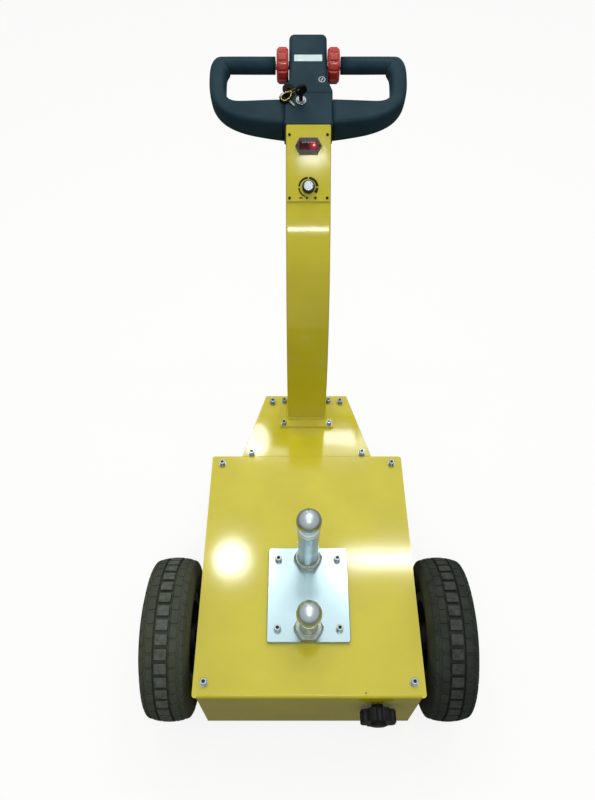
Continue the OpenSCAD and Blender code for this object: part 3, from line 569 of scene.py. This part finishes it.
EDGE_ROUNDING = {
    "chassis_tub": 0.8, "main_cover": 0.7, "tail_tub": 0.8, "tail_cover": 0.7, "hitch_plate": 1.0,
    "isolator_knob": 2.2, "tiller_column": 1.0, "control_panel": 0.6, "battery_gauge": 1.0,
    "gauge_lens": 0.4, "speed_knob": 0.6, "speed_knob_cap": 1.2, "head_hub": 0.6, "head_block": 0.8,
    "throttle_left": 1.6, "throttle_right": 1.6, "key_switch": 0.6, "key": 0.9, "belly_button": 2.5,
    "axle_bearing_left": 1.0, "axle_bearing_right": 1.0, "caster_plate": 1.0, "caster_fork": 1.0,
    "caster_axle": 0.8, "caster_core": 0.8, "caster_tyre": 1.2, "throttle_shaft_left": 0.5,
    "throttle_shaft_right": 0.5, "rim_left": 0.9, "hub_left": 1.0, "rim_right": 0.9, "hub_right": 1.0,
}
OWN_FINISH = {"battery_gauge": bezel_abs, "key": key_abs, "key_switch": chrome}
for node, width in EDGE_ROUNDING.items():
    body, slot = body_of_node[node], slot_of_node[node]
    material = OWN_FINISH.get(node, FINISHES[slot])
    copy = piece(node + "_shown", cleaned(node), material, body, bevel=width)
    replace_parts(copy, node)

# %% [markdown]
# ## Skins of rings
# Bolts, tow balls, tread blocks and printed marks all have one thing in common: a section that changes along
# a line. So one function skins a list of rings of points, and the rings can be circles, hexagons or
# rectangles. A polygon ring has as many points as a round one, which lets a hexagon foot run straight into a
# round shank. A turned piece is then a short table: each row is a radius and a height in millimetres, and a
# third value makes the row a polygon, with half its width as the radius.

# %% Rings and skins
HEX = 6


def steps_round(count):
    """Angles of even steps round a circle."""
    return [2 * math.pi * k / count for k in range(count)]


def ring(radius, z, count=48, flats=0):
    """Points round Z at a height; with flats, a polygon of that many sides and half its width as radius."""
    points = []
    for a in steps_round(count):
        step = 2 * math.pi / flats if flats else 0
        r = radius / math.cos(a % step - step / 2) if flats else radius
        points.append(Vector((r * math.cos(a), r * math.sin(a), z)))
    return points


def skin(bm, rings, place, closed=False):
    """Joins rings of the same number of points; the ends are capped, or the last ring joins the first."""
    made = [[bm.verts.new(place @ Vector(point)) for point in points] for points in rings]
    pairs = list(zip(made, made[1:] + made[:1])) if closed else list(zip(made, made[1:]))
    for near, far in pairs:
        for k in range(len(near)):
            bm.faces.new((near[k - 1], near[k], far[k], far[k - 1]))
    if not closed:
        bm.faces.new(made[0][::-1])
        bm.faces.new(made[-1])


def turned(bm, rows, place, count=24):
    """Skins rows of radius and height, or of half width, height and number of sides, round Z."""
    skin(bm, [ring(radius, z, count, *flats) for radius, z, *flats in rows], place)


print("a hexagon ring has", len(ring(1, 0, flats=HEX)), "points")

# %% [markdown]
# ## Loop handle
# The loop is one lofted moulding, and its CAD solid has flat facets. Subdivision rounds them into the smooth
# skin of a moulding. The flat ends at the hub and at the throttles are creased, so that they stay flat: they
# are the faces with more points than any facet has.

# %% Loop handle
FACET_POINTS = 12
for node in ("loop_left", "loop_right"):
    bm = cleaned(node)
    triangles = [face for face in bm.faces if len(face.verts) == 3]
    bmesh.ops.join_triangles(bm, faces=triangles, angle_face_threshold=1.0, angle_shape_threshold=3.0)
    crease = bm.edges.layers.float.new("crease_edge")
    for face in bm.faces:
        if len(face.verts) > FACET_POINTS:
            for edge in face.edges:
                edge[crease] = 1.0
    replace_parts(piece(node + "_shown", bm, head_abs, "chassis", subdivide=2), node)

# %% [markdown]
# ## Seams of the head
# The arms are pressed against the hub with a thin dark seal between them, so no light shows through the
# seam. The seal follows the outline of the arm's root, a little smaller.

# %% Seals between the hub and the arms
SEAL_SHARE, SEAM_SLACK = 0.97, 0.05
bm = bmesh.new()
for node, hub_side in (("loop_left", hub_low.x), ("loop_right", hub_high.x)):
    points = [vertex.co for vertex in nodes[node].data.vertices]
    root = min((point.x for point in points), key=abs)
    outline = [point for point in points if abs(point.x - root) < SEAM_SLACK * MM]
    middle = sum(outline, Vector()) / len(outline)
    outline.sort(key=lambda point: math.atan2(point.z - middle.z, point.y - middle.y))
    small = [middle + (point - middle) * SEAL_SHARE for point in outline]
    skin(bm, [[(x, point.y, point.z) for point in small] for x in (hub_side, root)], Matrix())
piece("head_seals", bm, black_abs, "chassis")

# %% [markdown]
# ## Tow balls
# Each ball is turned from one bar: a hexagon foot with chamfered corners, a shank with a collar, a neck and
# the ball. It is drawn again here as a skin of rings, because the rings can follow the ball far more closely
# than the facets of the frame do, and a polished ball shows each facet.

# %% Tow balls
BALL_R, NECK_R, HEX_HALF = 25, 17, 26
SHANK_R = {"tow_ball_short": 17.05, "tow_ball_tall": 21.5}
COLLAR_H, COLLAR_LIP, COLLAR_EDGE = 5.7, 1.4, 0.5
FOOT_CUT, FOOT_EDGE, CHAMFER_SLOPE = 0.4, 0.6, 0.58
FILLET, NECK_EDGE = 1.0, 1.5
BALL_TOP, BALL_STEPS = math.radians(89), 32


def spaced(first, last, steps):
    """Values at even steps from the first to the last."""
    return [first + (last - first) * k / steps for k in range(steps + 1)]


def chamfered(half, top):
    """Upper ring of a hexagon whose corners are turned down by a cone."""
    points = ring(half, top, flats=HEX)
    return [Vector((p.x, p.y, top - (p.xy.length - half) * CHAMFER_SLOPE)) for p in points]


for node, shank in SHANK_R.items():
    low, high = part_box(node)
    ball_z = (high.z - low.z) / MM - BALL_R
    collar = ball_z - BALL_R - 2 * COLLAR_H
    lip = shank + COLLAR_LIP
    rows = [
        (HEX_HALF - FOOT_EDGE, HEX_H), (shank + FILLET, HEX_H), (shank, HEX_H + FILLET), (shank, collar),
        (lip, collar + COLLAR_EDGE), (lip, collar + COLLAR_H - COLLAR_EDGE), (shank, collar + COLLAR_H),
        (shank, collar + 2 * COLLAR_H - NECK_EDGE), (NECK_R, collar + 2 * COLLAR_H),
    ]
    for a in spaced(-math.acos(NECK_R / BALL_R), BALL_TOP, BALL_STEPS):
        rows.append((BALL_R * math.cos(a), ball_z + BALL_R * math.sin(a)))
    rings = [ring(HEX_HALF, 0, flats=HEX), chamfered(HEX_HALF, HEX_H - FOOT_CUT)]
    rings += [ring(radius, z) for radius, z in rows]
    bm = bmesh.new()
    skin(bm, rings, Matrix.Translation((0, (low.y + high.y) / 2, low.z)) @ TO_METRES)
    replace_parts(piece(node + "_shown", bm, turned_steel, "chassis", bevel=0.5), node)

# %% [markdown]
# ## Bolts
# The covers, the hitch plate and the column's flange are held by socket cap screws, each on a spring washer
# and a flat washer. A screw is one skin: the two washers, the cylindrical head with its turned edge, and the
# wall of the socket. The bottom of the socket is a dark hexagon of its own, because oil and shade make it
# look black. All screws are one mesh, so that the list of pieces stays short.

# %% Cap screws on the covers, the plate and the flange
FLAT_R, FLAT_TOP, SPRING_R, SPRING_TOP = 8.5, 1.6, 7.0, 3.5
SCREW_R, SCREW_TOP, SCREW_EDGE = 6.5, 11.8, 0.7
SOCKET_HALF, SOCKET_DEPTH, SOCKET_EDGE = 3.2, 1.6, 0.4
BOTTOM_GAP, BOTTOM_LIFT, BOTTOM_T = 0.02, 0.1, 0.5
CAP_SCREW = [
    (FLAT_R, 0), (FLAT_R, FLAT_TOP), (SPRING_R, FLAT_TOP), (SPRING_R, SPRING_TOP),
    (SCREW_R, SPRING_TOP), (SCREW_R, SCREW_TOP - SCREW_EDGE), (SCREW_R - SCREW_EDGE, SCREW_TOP),
    (SOCKET_HALF + SOCKET_EDGE, SCREW_TOP), (SOCKET_HALF, SCREW_TOP - SOCKET_EDGE, HEX),
    (SOCKET_HALF, SCREW_TOP - SOCKET_DEPTH, HEX),
]
bottom = SCREW_TOP - SOCKET_DEPTH + BOTTOM_LIFT
SOCKET_BOTTOM = [(SOCKET_HALF - BOTTOM_GAP, z, HEX) for z in (bottom, bottom + BOTTOM_T)]

HITCH_T, FLANGE_T = 10, 8
FLANGE_SHARE = 0.86
SCREW_TURN = 0.7
COVER_BOLTS = [(x * side, y, 0) for side in (-1, 1) for x, y in ((201, 27.4), (198, 513))]
TAIL_BOLTS = [(x * side, y, 0) for side in (-1, 1) for x, y in ((130.5, 542), (84, 692.5))]
FLANGE_BOLTS = [(x, y, FLANGE_T) for x in (-55, 55) for y in (623, 690)]
HITCH_BOLTS = [(x, y, HITCH_T) for x in (-62, 62) for y in (125.7, 271.5)]
bm, sockets = bmesh.new(), bmesh.new()
for number, spot in enumerate(COVER_BOLTS + TAIL_BOLTS + FLANGE_BOLTS + HITCH_BOLTS):
    size = Matrix.Scale(FLANGE_SHARE if spot in FLANGE_BOLTS else 1, 4)
    place = COVER @ Matrix.Translation(spot) @ Matrix.Rotation(number * SCREW_TURN, 4, "Z") @ size
    turned(bm, CAP_SCREW, place)
    turned(sockets, SOCKET_BOTTOM, place)
piece("cap_screws", bm, bright_zinc, "chassis")
# The dark socket bottoms stand for oil and painted shade.
piece("cap_screw_sockets", sockets, oily_steel_and_painted_shade, "chassis")

# %% [markdown]
# ## Weld at the column's foot
# The column is welded to its flange before it is painted, so the bead is yellow too. It is a thick wire
# along a line round the foot, and a row of small swellings gives the ripples that a welder's hand leaves.

# %% Weld bead
COLUMN_W, COLUMN_DEPTH, COLUMN_FRONT, COLUMN_R = 91, 55, 639, 4
BEAD_R, RIPPLE, RIPPLE_PITCH, BEAD_STEP = 4.2, 0.5, 7.0, 1.75


def rounded_rectangle(w, l, r, z, steps=5):
    """Ring of a rectangle with round corners."""
    points = []
    for k, (sx, sy) in enumerate(((1, 1), (-1, 1), (-1, -1), (1, -1))):
        for j in range(steps):
            a = math.pi / 2 * (k + j / (steps - 1))
            x, y = sx * (w / 2 - r) + r * math.cos(a), sy * (l / 2 - r) + r * math.sin(a)
            points.append(Vector((x, y, z)))
    return points


def walked(points, step):
    """Points one step apart along a closed line."""
    spots, along = [], 0
    for near, far in zip(points, points[1:] + points[:1]):
        span = (far - near).length
        while along < span:
            spots.append(near.lerp(far, along / span))
            along += step
        along -= span
    return spots


def wire(path, normal, radii, count=10):
    """Rings round a closed path that lies in a plane, with the wire's radius at each of its points."""
    rings, angles = [], steps_round(count)
    for k, spot in enumerate(path):
        out = (path[(k + 1) % len(path)] - path[k - 1]).cross(normal).normalized()
        rings.append([spot + radii[k] * (math.cos(a) * out + math.sin(a) * normal) for a in angles])
    return rings


foot = walked(rounded_rectangle(COLUMN_W, COLUMN_DEPTH, COLUMN_R, 0), BEAD_STEP)
ripples = [math.sin(2 * math.pi * k * BEAD_STEP / RIPPLE_PITCH) for k in range(len(foot))]
bead = [BEAD_R + RIPPLE * ripple for ripple in ripples]
on_flange = COVER @ Matrix.Translation((0, COLUMN_FRONT + COLUMN_DEPTH / 2, FLANGE_T))
bm = bmesh.new()
skin(bm, wire(foot, Vector((0, 0, 1)), bead), on_flange, closed=True)
piece("column_weld", bm, enamel, "chassis")

# %% [markdown]
# ## Tyres
# The tyre is a carcass with blocks on it. The carcass is turned from its section: bulging sides, a round
# crown lower than the blocks, and two thin ribs moulded on each side. Each block is a piece of the outer
# section swept through a few degrees, so its face follows the round of the tyre. The middle row is square,
# between two deep grooves; the rows beside it are narrower and lower cut and stand half a pitch further on,
# and low lugs wrap over the shoulder.

# %% Section of the tyre's carcass
TYRE_HALF, RIM_R, CROWN_R, BULGE_R = 50, 80, 120, 70
BULGE_MID = (TYRE_R + RIM_R) / 2
TREAD_DEPTH, SIDE_DEPTH, SKIN = 6.5, 2.2, 0.25
TYRE_BEAD = [(RIM_R + 1, 30), (RIM_R + 1, 35.4), (RIM_R + 15.4, 35.6)]
FLANK, FLANK_SINK = range(98, 150, 4), 1.2
RIBS, RIB_H = (110, 130), 0.9
SHOULDER = [(152, 1.6), (155.5, 1.8)]
SIDE_FLOOR, GROOVE_FLOOR = (37, 34, 27, 20, 16), (15, 9)


def crown_at(across):
    """Radius of the tread's face at a distance from the tyre's middle."""
    return TYRE_R - CROWN_R + math.sqrt(CROWN_R ** 2 - across ** 2) - SKIN


def side_at(radius):
    """Half the tyre's width at a radius."""
    return TYRE_HALF - BULGE_R + math.sqrt(BULGE_R ** 2 - (radius - BULGE_MID) ** 2) - SKIN


half = list(TYRE_BEAD)
half += [(r, side_at(r) - FLANK_SINK + (RIB_H if r in RIBS else 0)) for r in FLANK]
half += [(r, side_at(r) - sink) for r, sink in SHOULDER]
half += [(crown_at(across) - SIDE_DEPTH, across) for across in SIDE_FLOOR]
half += [(crown_at(across) - TREAD_DEPTH, across) for across in GROOVE_FLOOR]
CARCASS = half + [(crown_at(0) - TREAD_DEPTH, 0)] + [(r, -across) for r, across in reversed(half)]
print("carcass section of", len(CARCASS), "points")

# %% Tyres with their tread
BLOCKS, BLOCK_STEPS, CARCASS_STEPS = 38, 3, 120
BLOCK_SINK, SINK_SHARE = 2, 0.97
PITCH = 2 * math.pi / BLOCKS
MIDDLE_FACE, SIDE_FACE = (-12, -4, 4, 12), (16, 20, 25, 30)
MIDDLE_SHARE, SIDE_SHARE, SIDE_SHIFT = 0.74, 0.8, 0.5
LUG_FACE = [(crown_at(34.5), 34.5), (157.4, 40.2), (153, side_at(153)), (148, side_at(148) - 1.0)]
MIDDLE_ROW = ([(crown_at(across), across) for across in MIDDLE_FACE], 0, MIDDLE_SHARE)
SIDE_ROWS = [
    ([(crown_at(across), across) for across in SIDE_FACE], SIDE_SHIFT, SIDE_SHARE),
    (LUG_FACE, 0, SIDE_SHARE),
]
FAR_ROWS = []
for face, shift, share in SIDE_ROWS:
    FAR_ROWS.append(([(r, -across) for r, across in reversed(face)], shift, share))


def swept(section, angles):
    """Rings of a section of (radius, height) points, turned round Z to each of the angles."""
    return [[(r * math.cos(a), r * math.sin(a), z) for r, z in section] for a in angles]


for side, place in WHEEL.items():
    bm = bmesh.new()
    skin(bm, swept(CARCASS, steps_round(CARCASS_STEPS)), place, closed=True)
    for face, shift, share in [MIDDLE_ROW] + SIDE_ROWS + FAR_ROWS:
        sunk = [(r - TREAD_DEPTH - BLOCK_SINK, across * SINK_SHARE) for r, across in reversed(face)]
        for k in range(BLOCKS):
            start = (k + shift - share / 2) * PITCH
            skin(bm, swept(face + sunk, spaced(start, start + share * PITCH, BLOCK_STEPS)), place)
    shown = "tyre_" + side + "_shown"
    tyre = piece(shown, bm, tyre_rubber, side + "_wheel", bevel=0.8, segments=1)
    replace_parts(tyre, "tyre_" + side)

# %% [markdown]
# ## Wheel fittings
# Five flange bolts hold each rim to its hub, a rubber valve stands in the disc, and a pressed cap keeps the
# dirt out of the hub. They turn with the wheel. Each is a table of rows, because all of them are turned or
# moulded round an axis of their own.

# %% Lug bolts, valve and hub cap
LUGS, LUG_CIRCLE = 5, 45
VALVE_CIRCLE, VALVE_ANGLE = 63, math.radians(36)
DISC_Z, NOSE_Z = 12, 32
CAP_POINTS = 48
LUG_BOLT = [
    (10.5, 0), (10.5, 1.6), (8.6, 2.6), (7.5, 2.6, HEX), (7.5, 8.2, HEX), (6.4, 9.2), (3.2, 9.4), (3.0, 8.6),
]
HUB_CAP = [(23.6, -7), (23.6, -5.6), (23.0, -5.4), (22.4, 2), (20, 4.6), (13, 6.4), (4, 7)]
VALVE = [(6.5, -0.5), (6.5, 2), (4.6, 5), (4.2, 17), (3.6, 18), (4.4, 18.4), (4.4, 26), (3.4, 27)]


def on_disc(wheel, angle, circle):
    """Frame on the disc of a wheel, at an angle and a distance from the axle."""
    return wheel @ Matrix.Rotation(angle, 4, "Z") @ Matrix.Translation((circle, 0, DISC_Z))


for side, place in WHEEL.items():
    bm = bmesh.new()
    for angle in steps_round(LUGS):
        turned(bm, LUG_BOLT, on_disc(place, angle, LUG_CIRCLE))
    piece("lug_bolts_" + side, bm, bright_zinc, side + "_wheel", bevel=0.4, segments=1)

    bm = bmesh.new()
    turned(bm, HUB_CAP, place @ Matrix.Translation((0, 0, NOSE_Z)), CAP_POINTS)
    piece("hub_cap_" + side, bm, galvanised, side + "_wheel")

    bm = bmesh.new()
    turned(bm, VALVE, on_disc(place, VALVE_ANGLE, VALVE_CIRCLE))
    piece("valve_" + side, bm, caster_rubber, side + "_wheel", bevel=0.3, segments=1)

# %% [markdown]
# ## Panel
# The panel is held by four small black screws, and the gauge by one at each of its points. A printed scale
# runs round the speed knob and grows wider towards fast, with a minus, a dot and a plus below it. The gauge
# has a row of bars, a row of ticks above them and one diode alight. Ink is only microns thick, so a print is
# drawn as a thin solid that stands a tenth of a millimetre proud.

# %% Panel and gauge screws
PANEL_SCREW_X, PANEL_SCREW_DROPS, GAUGE_SCREW_X = 38, (26.3, 149), 22
PANEL_SCREW, GAUGE_SCREW = (2.8, 1.8), (2.0, 0.9)
PAN_SHARES = [(1, 0), (1, 0.5), (0.8, 1), (0.45, 1, HEX), (0.45, 0.3, HEX)]


def pan_screw(bm, place, radius, height):
    """Small pan-head screw with a hexagon socket."""
    turned(bm, [(wide * radius, high * height, *flats) for wide, high, *flats in PAN_SHARES], place)


bm = bmesh.new()
for side in (-1, 1):
    for drop in PANEL_SCREW_DROPS:
        pan_screw(bm, PANEL @ Matrix.Translation((side * PANEL_SCREW_X, -drop, PANEL_T)), *PANEL_SCREW)
    pan_screw(bm, GAUGE @ Matrix.Translation((side * GAUGE_SCREW_X, 0, 0)), *GAUGE_SCREW)
piece("panel_screws", bm, black_abs, "chassis")

# %% Printed speed scale
SPEED_DROP, INK = 128, 0.12
SCALE_R, SCALE_THIN, SCALE_WIDE = 20.5, 2.4, 6.0
SCALE_START, SCALE_END, ARC_STEPS = 252, -38, 12
SCALE_CUTS, HALF_CUT = (180, 90, 0), 4
MARKS_DROP, MINUS_X, DOT_X, PLUS_X = 21, -15, -3, 14
MINUS_L, PLUS_L, STROKE, DOT_R = 7.5, 7, 2.4, 2.4
OVER_INK = 1.1 * INK
DIAL = PANEL @ Matrix.Translation((0, -SPEED_DROP, PANEL_T))


def slab(bm, outline, place, thickness):
    """Skins a flat outline into a thin solid."""
    skin(bm, [[(x, y, z) for x, y in outline] for z in (0, thickness)], place)


def rectangle(w, l):
    """Outline of a rectangle round its middle."""
    return [(-w / 2, -l / 2), (w / 2, -l / 2), (w / 2, l / 2), (-w / 2, l / 2)]


bm = bmesh.new()
arc_starts = [SCALE_START] + [cut - HALF_CUT for cut in SCALE_CUTS]
arc_ends = [cut + HALF_CUT for cut in SCALE_CUTS] + [SCALE_END]
for first, last in zip(arc_starts, arc_ends):
    rings = []
    for degrees in spaced(first, last, ARC_STEPS):
        share = (SCALE_START - degrees) / (SCALE_START - SCALE_END)
        inner = SCALE_R - SCALE_THIN - (SCALE_WIDE - SCALE_THIN) * share
        band = [(inner, 0), (SCALE_R, 0), (SCALE_R, INK), (inner, INK)]
        rings += swept(band, [math.radians(degrees)])
    skin(bm, rings, DIAL)
strokes = [
    (MINUS_X, MINUS_L, STROKE, INK), (PLUS_X, PLUS_L, STROKE, INK), (PLUS_X, STROKE, PLUS_L, OVER_INK),
]
for x, w, l, thickness in strokes:
    slab(bm, rectangle(w, l), DIAL @ Matrix.Translation((x, -MARKS_DROP, 0)), thickness)
turned(bm, [(DOT_R, 0), (DOT_R, INK)], DIAL @ Matrix.Translation((DOT_X, -MARKS_DROP, 0)))
piece("speed_scale", bm, black_ink, "chassis")

# %% Charge gauge
DIODE_R, DIODE_H = 2.0, 1.2
BARS, BAR_X, BAR_PITCH, BAR_UP, BAR_W, BAR_L = 9, -13, 2.4, 1, 1.6, 7
TICKS, TICK_X, TICK_PITCH, TICK_TOP, TICK_W = 9, -12, 3, 7.2, 1.2
LONG_TICK, SHORT_TICK, LONG_EVERY = 2.6, 1.6, 4

bm = bmesh.new()
dome = [(DIODE_R * math.cos(a), DIODE_H * math.sin(a)) for a in (0, 0.5, 1.0, 1.4)]
turned(bm, dome, GAUGE @ Matrix.Translation(DIODE_AT))
piece("charge_diode", bm, lit_diode, "chassis")

bm = bmesh.new()
for k in range(BARS):
    place = GAUGE @ Matrix.Translation((BAR_X + BAR_PITCH * k, BAR_UP, 0))
    slab(bm, rectangle(BAR_W, BAR_L), place, INK)
piece("charge_bars", bm, tinted_acrylic, "chassis")

bm = bmesh.new()
for k in range(TICKS):
    tall = SHORT_TICK if k % LONG_EVERY else LONG_TICK
    place = GAUGE @ Matrix.Translation((TICK_X + TICK_PITCH * k, TICK_TOP - tall / 2, 0))
    slab(bm, rectangle(TICK_W, tall), place, INK)
piece("charge_ticks", bm, white_ink, "chassis")

# %% [markdown]
# ## Head
# A pale label plate lies on the block, blank, and a small white mark is printed beside it, a ring round a
# bar. The plate is a thin rounded rectangle, skinned from two rings.

# %% Label and printed ring
LABEL_W, LABEL_L, LABEL_T, LABEL_R, LABEL_BACK = 58, 16.5, 0.5, 1.5, 155.7
MARK_IN, MARK_OUT, MARK_STEPS = 5.7, 7.0, 48
MARK_BAR_L, MARK_BAR_W, MARK_SLANT = 6.8, 2.2, math.radians(50)
MARK = HEAD @ Matrix.Translation((28, 102, 0))

bm = bmesh.new()
plate = [rounded_rectangle(LABEL_W, LABEL_L, LABEL_R, z) for z in (0, LABEL_T)]
skin(bm, plate, HEAD @ Matrix.Translation((0, LABEL_BACK, 0)))
piece("label_plate", bm, vinyl, "chassis", bevel=0.15, segments=1)

bm = bmesh.new()
band = [(MARK_IN, 0), (MARK_OUT, 0), (MARK_OUT, INK), (MARK_IN, INK)]
skin(bm, swept(band, steps_round(MARK_STEPS)), MARK, closed=True)
slab(bm, rectangle(MARK_BAR_L, MARK_BAR_W), MARK @ Matrix.Rotation(MARK_SLANT, 4, "Z"), INK)
piece("printed_ring", bm, white_ink, "chassis")

# %% [markdown]
# ## Keys
# A brass wire hangs from the hole in the key's bow and holds two spare keys, which lie on the hub. A
# second, looser loop of the same wire hangs beside them. A key's bow is skinned from sections between its
# rim and its hole, and its blade from the outline of its cuts.

# %% Key ring
KEY_HOLE, SPARE_HOLE = Vector((-20.6, 47, 33)), Vector((-40, 66, 7))
RING_SHARE, RING_HALF, WIRE_R = 0.56, 7, 0.7
DROP_MIDDLE, DROP_TAPER, DROP_R = Vector((-43.5, 52, 11.5)), 0.35, 0.8
DROP_ALONG, DROP_ACROSS = Vector((9, 11, -1)), Vector((-5.6, 4.6, 0))


def oval(middle, along, across, taper=0, count=40):
    """Points of an oval with two half axes; taper makes it a drop, narrower towards the first axis."""
    angles = steps_round(count)
    return [middle + math.cos(a) * along + math.sin(a) * (1 - taper * math.cos(a)) * across for a in angles]


def wire_loop(name, middle, along, across, radius, taper=0):
    """A closed loop of brass wire in the head's frame."""
    path = oval(middle, along, across, taper)
    bm = bmesh.new()
    skin(bm, wire(path, along.cross(across).normalized(), [radius] * len(path)), HEAD, closed=True)
    return piece(name, bm, brass_wire, "chassis")


along = (KEY_HOLE - SPARE_HOLE) * RING_SHARE
across = along.cross(Vector((0, 0, 1))).normalized() * RING_HALF
shown = wire_loop("key_ring_shown", (KEY_HOLE + SPARE_HOLE) / 2, along, across, WIRE_R)
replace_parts(shown, "key_ring")
wire_loop("key_wire", DROP_MIDDLE, DROP_ALONG, DROP_ACROSS, DROP_R, DROP_TAPER)

# %% Spare keys
BOW_R, BOW_SHARE, BOW_T = 13, 0.92, 4.5
BOW_HOLE_R, BOW_HOLE_AT = 3.2, Vector((2, -1, 0))
BLADE_LIFT, BLADE_T = 1.2, 2
BLADE = [
    (-2.2, -9), (-2.2, -26), (-1, -28), (0.8, -27), (0.8, -24), (2, -22), (1, -19), (2.2, -16.5), (2.2, -9),
]
SPARE_KEYS = [((-40, 71, 5.4), math.radians(-43)), ((-46, 55, 0.5), math.radians(43))]

thick = Vector((0, 0, BOW_T))
rim = oval(Vector(), Vector((BOW_R, 0, 0)), Vector((0, BOW_R * BOW_SHARE, 0)))
hole = oval(BOW_HOLE_AT, Vector((BOW_HOLE_R, 0, 0)), Vector((0, BOW_HOLE_R, 0)))
bow = [[inner, outer, outer + thick, inner + thick] for inner, outer in zip(hole, rim)]
bows, blades = bmesh.new(), bmesh.new()
for middle, angle in SPARE_KEYS:
    lie = HEAD @ Matrix.Translation(middle) @ Matrix.Rotation(angle, 4, "Z")
    skin(bows, bow, lie, closed=True)
    slab(blades, BLADE, lie @ Matrix.Translation((0, 0, BLADE_LIFT)), BLADE_T)
piece("spare_key_bows", bows, key_abs, "chassis", bevel=0.8)
piece("spare_key_blades", blades, nickel_silver, "chassis", bevel=0.3, segments=1)

# %% [markdown]
# ## Caster bolts
# Four hexagon bolts hold the caster's top plate to the tail. Their heads hang under the plate's corners,
# clear of the fork as it swings.

# %% Caster bolts
PLATE_T, CORNER = 6, 11
HEX_BOLT = [(9, 0), (9, 1.5), (6.5, 1.5, HEX), (6.5, 6.2, HEX), (5.6, 7), (2, 7.1)]
plate_low, plate_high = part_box("caster_plate")
downward = Matrix.Rotation(math.pi, 4, "X") @ TO_METRES
bm = bmesh.new()
for x in (plate_low.x + CORNER * MM, plate_high.x - CORNER * MM):
    for y in (plate_low.y + CORNER * MM, plate_high.y - CORNER * MM):
        turned(bm, HEX_BOLT, Matrix.Translation((x, y, plate_high.z - PLATE_T * MM)) @ downward)
piece("caster_bolts", bm, bright_zinc, "chassis", bevel=0.3, segments=1)

# %% Size and end
size = {"cad": [list(map(float, corner)) for corner in cad_box]}
size["visual"] = [list(map(float, corner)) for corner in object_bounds()]
print(size)
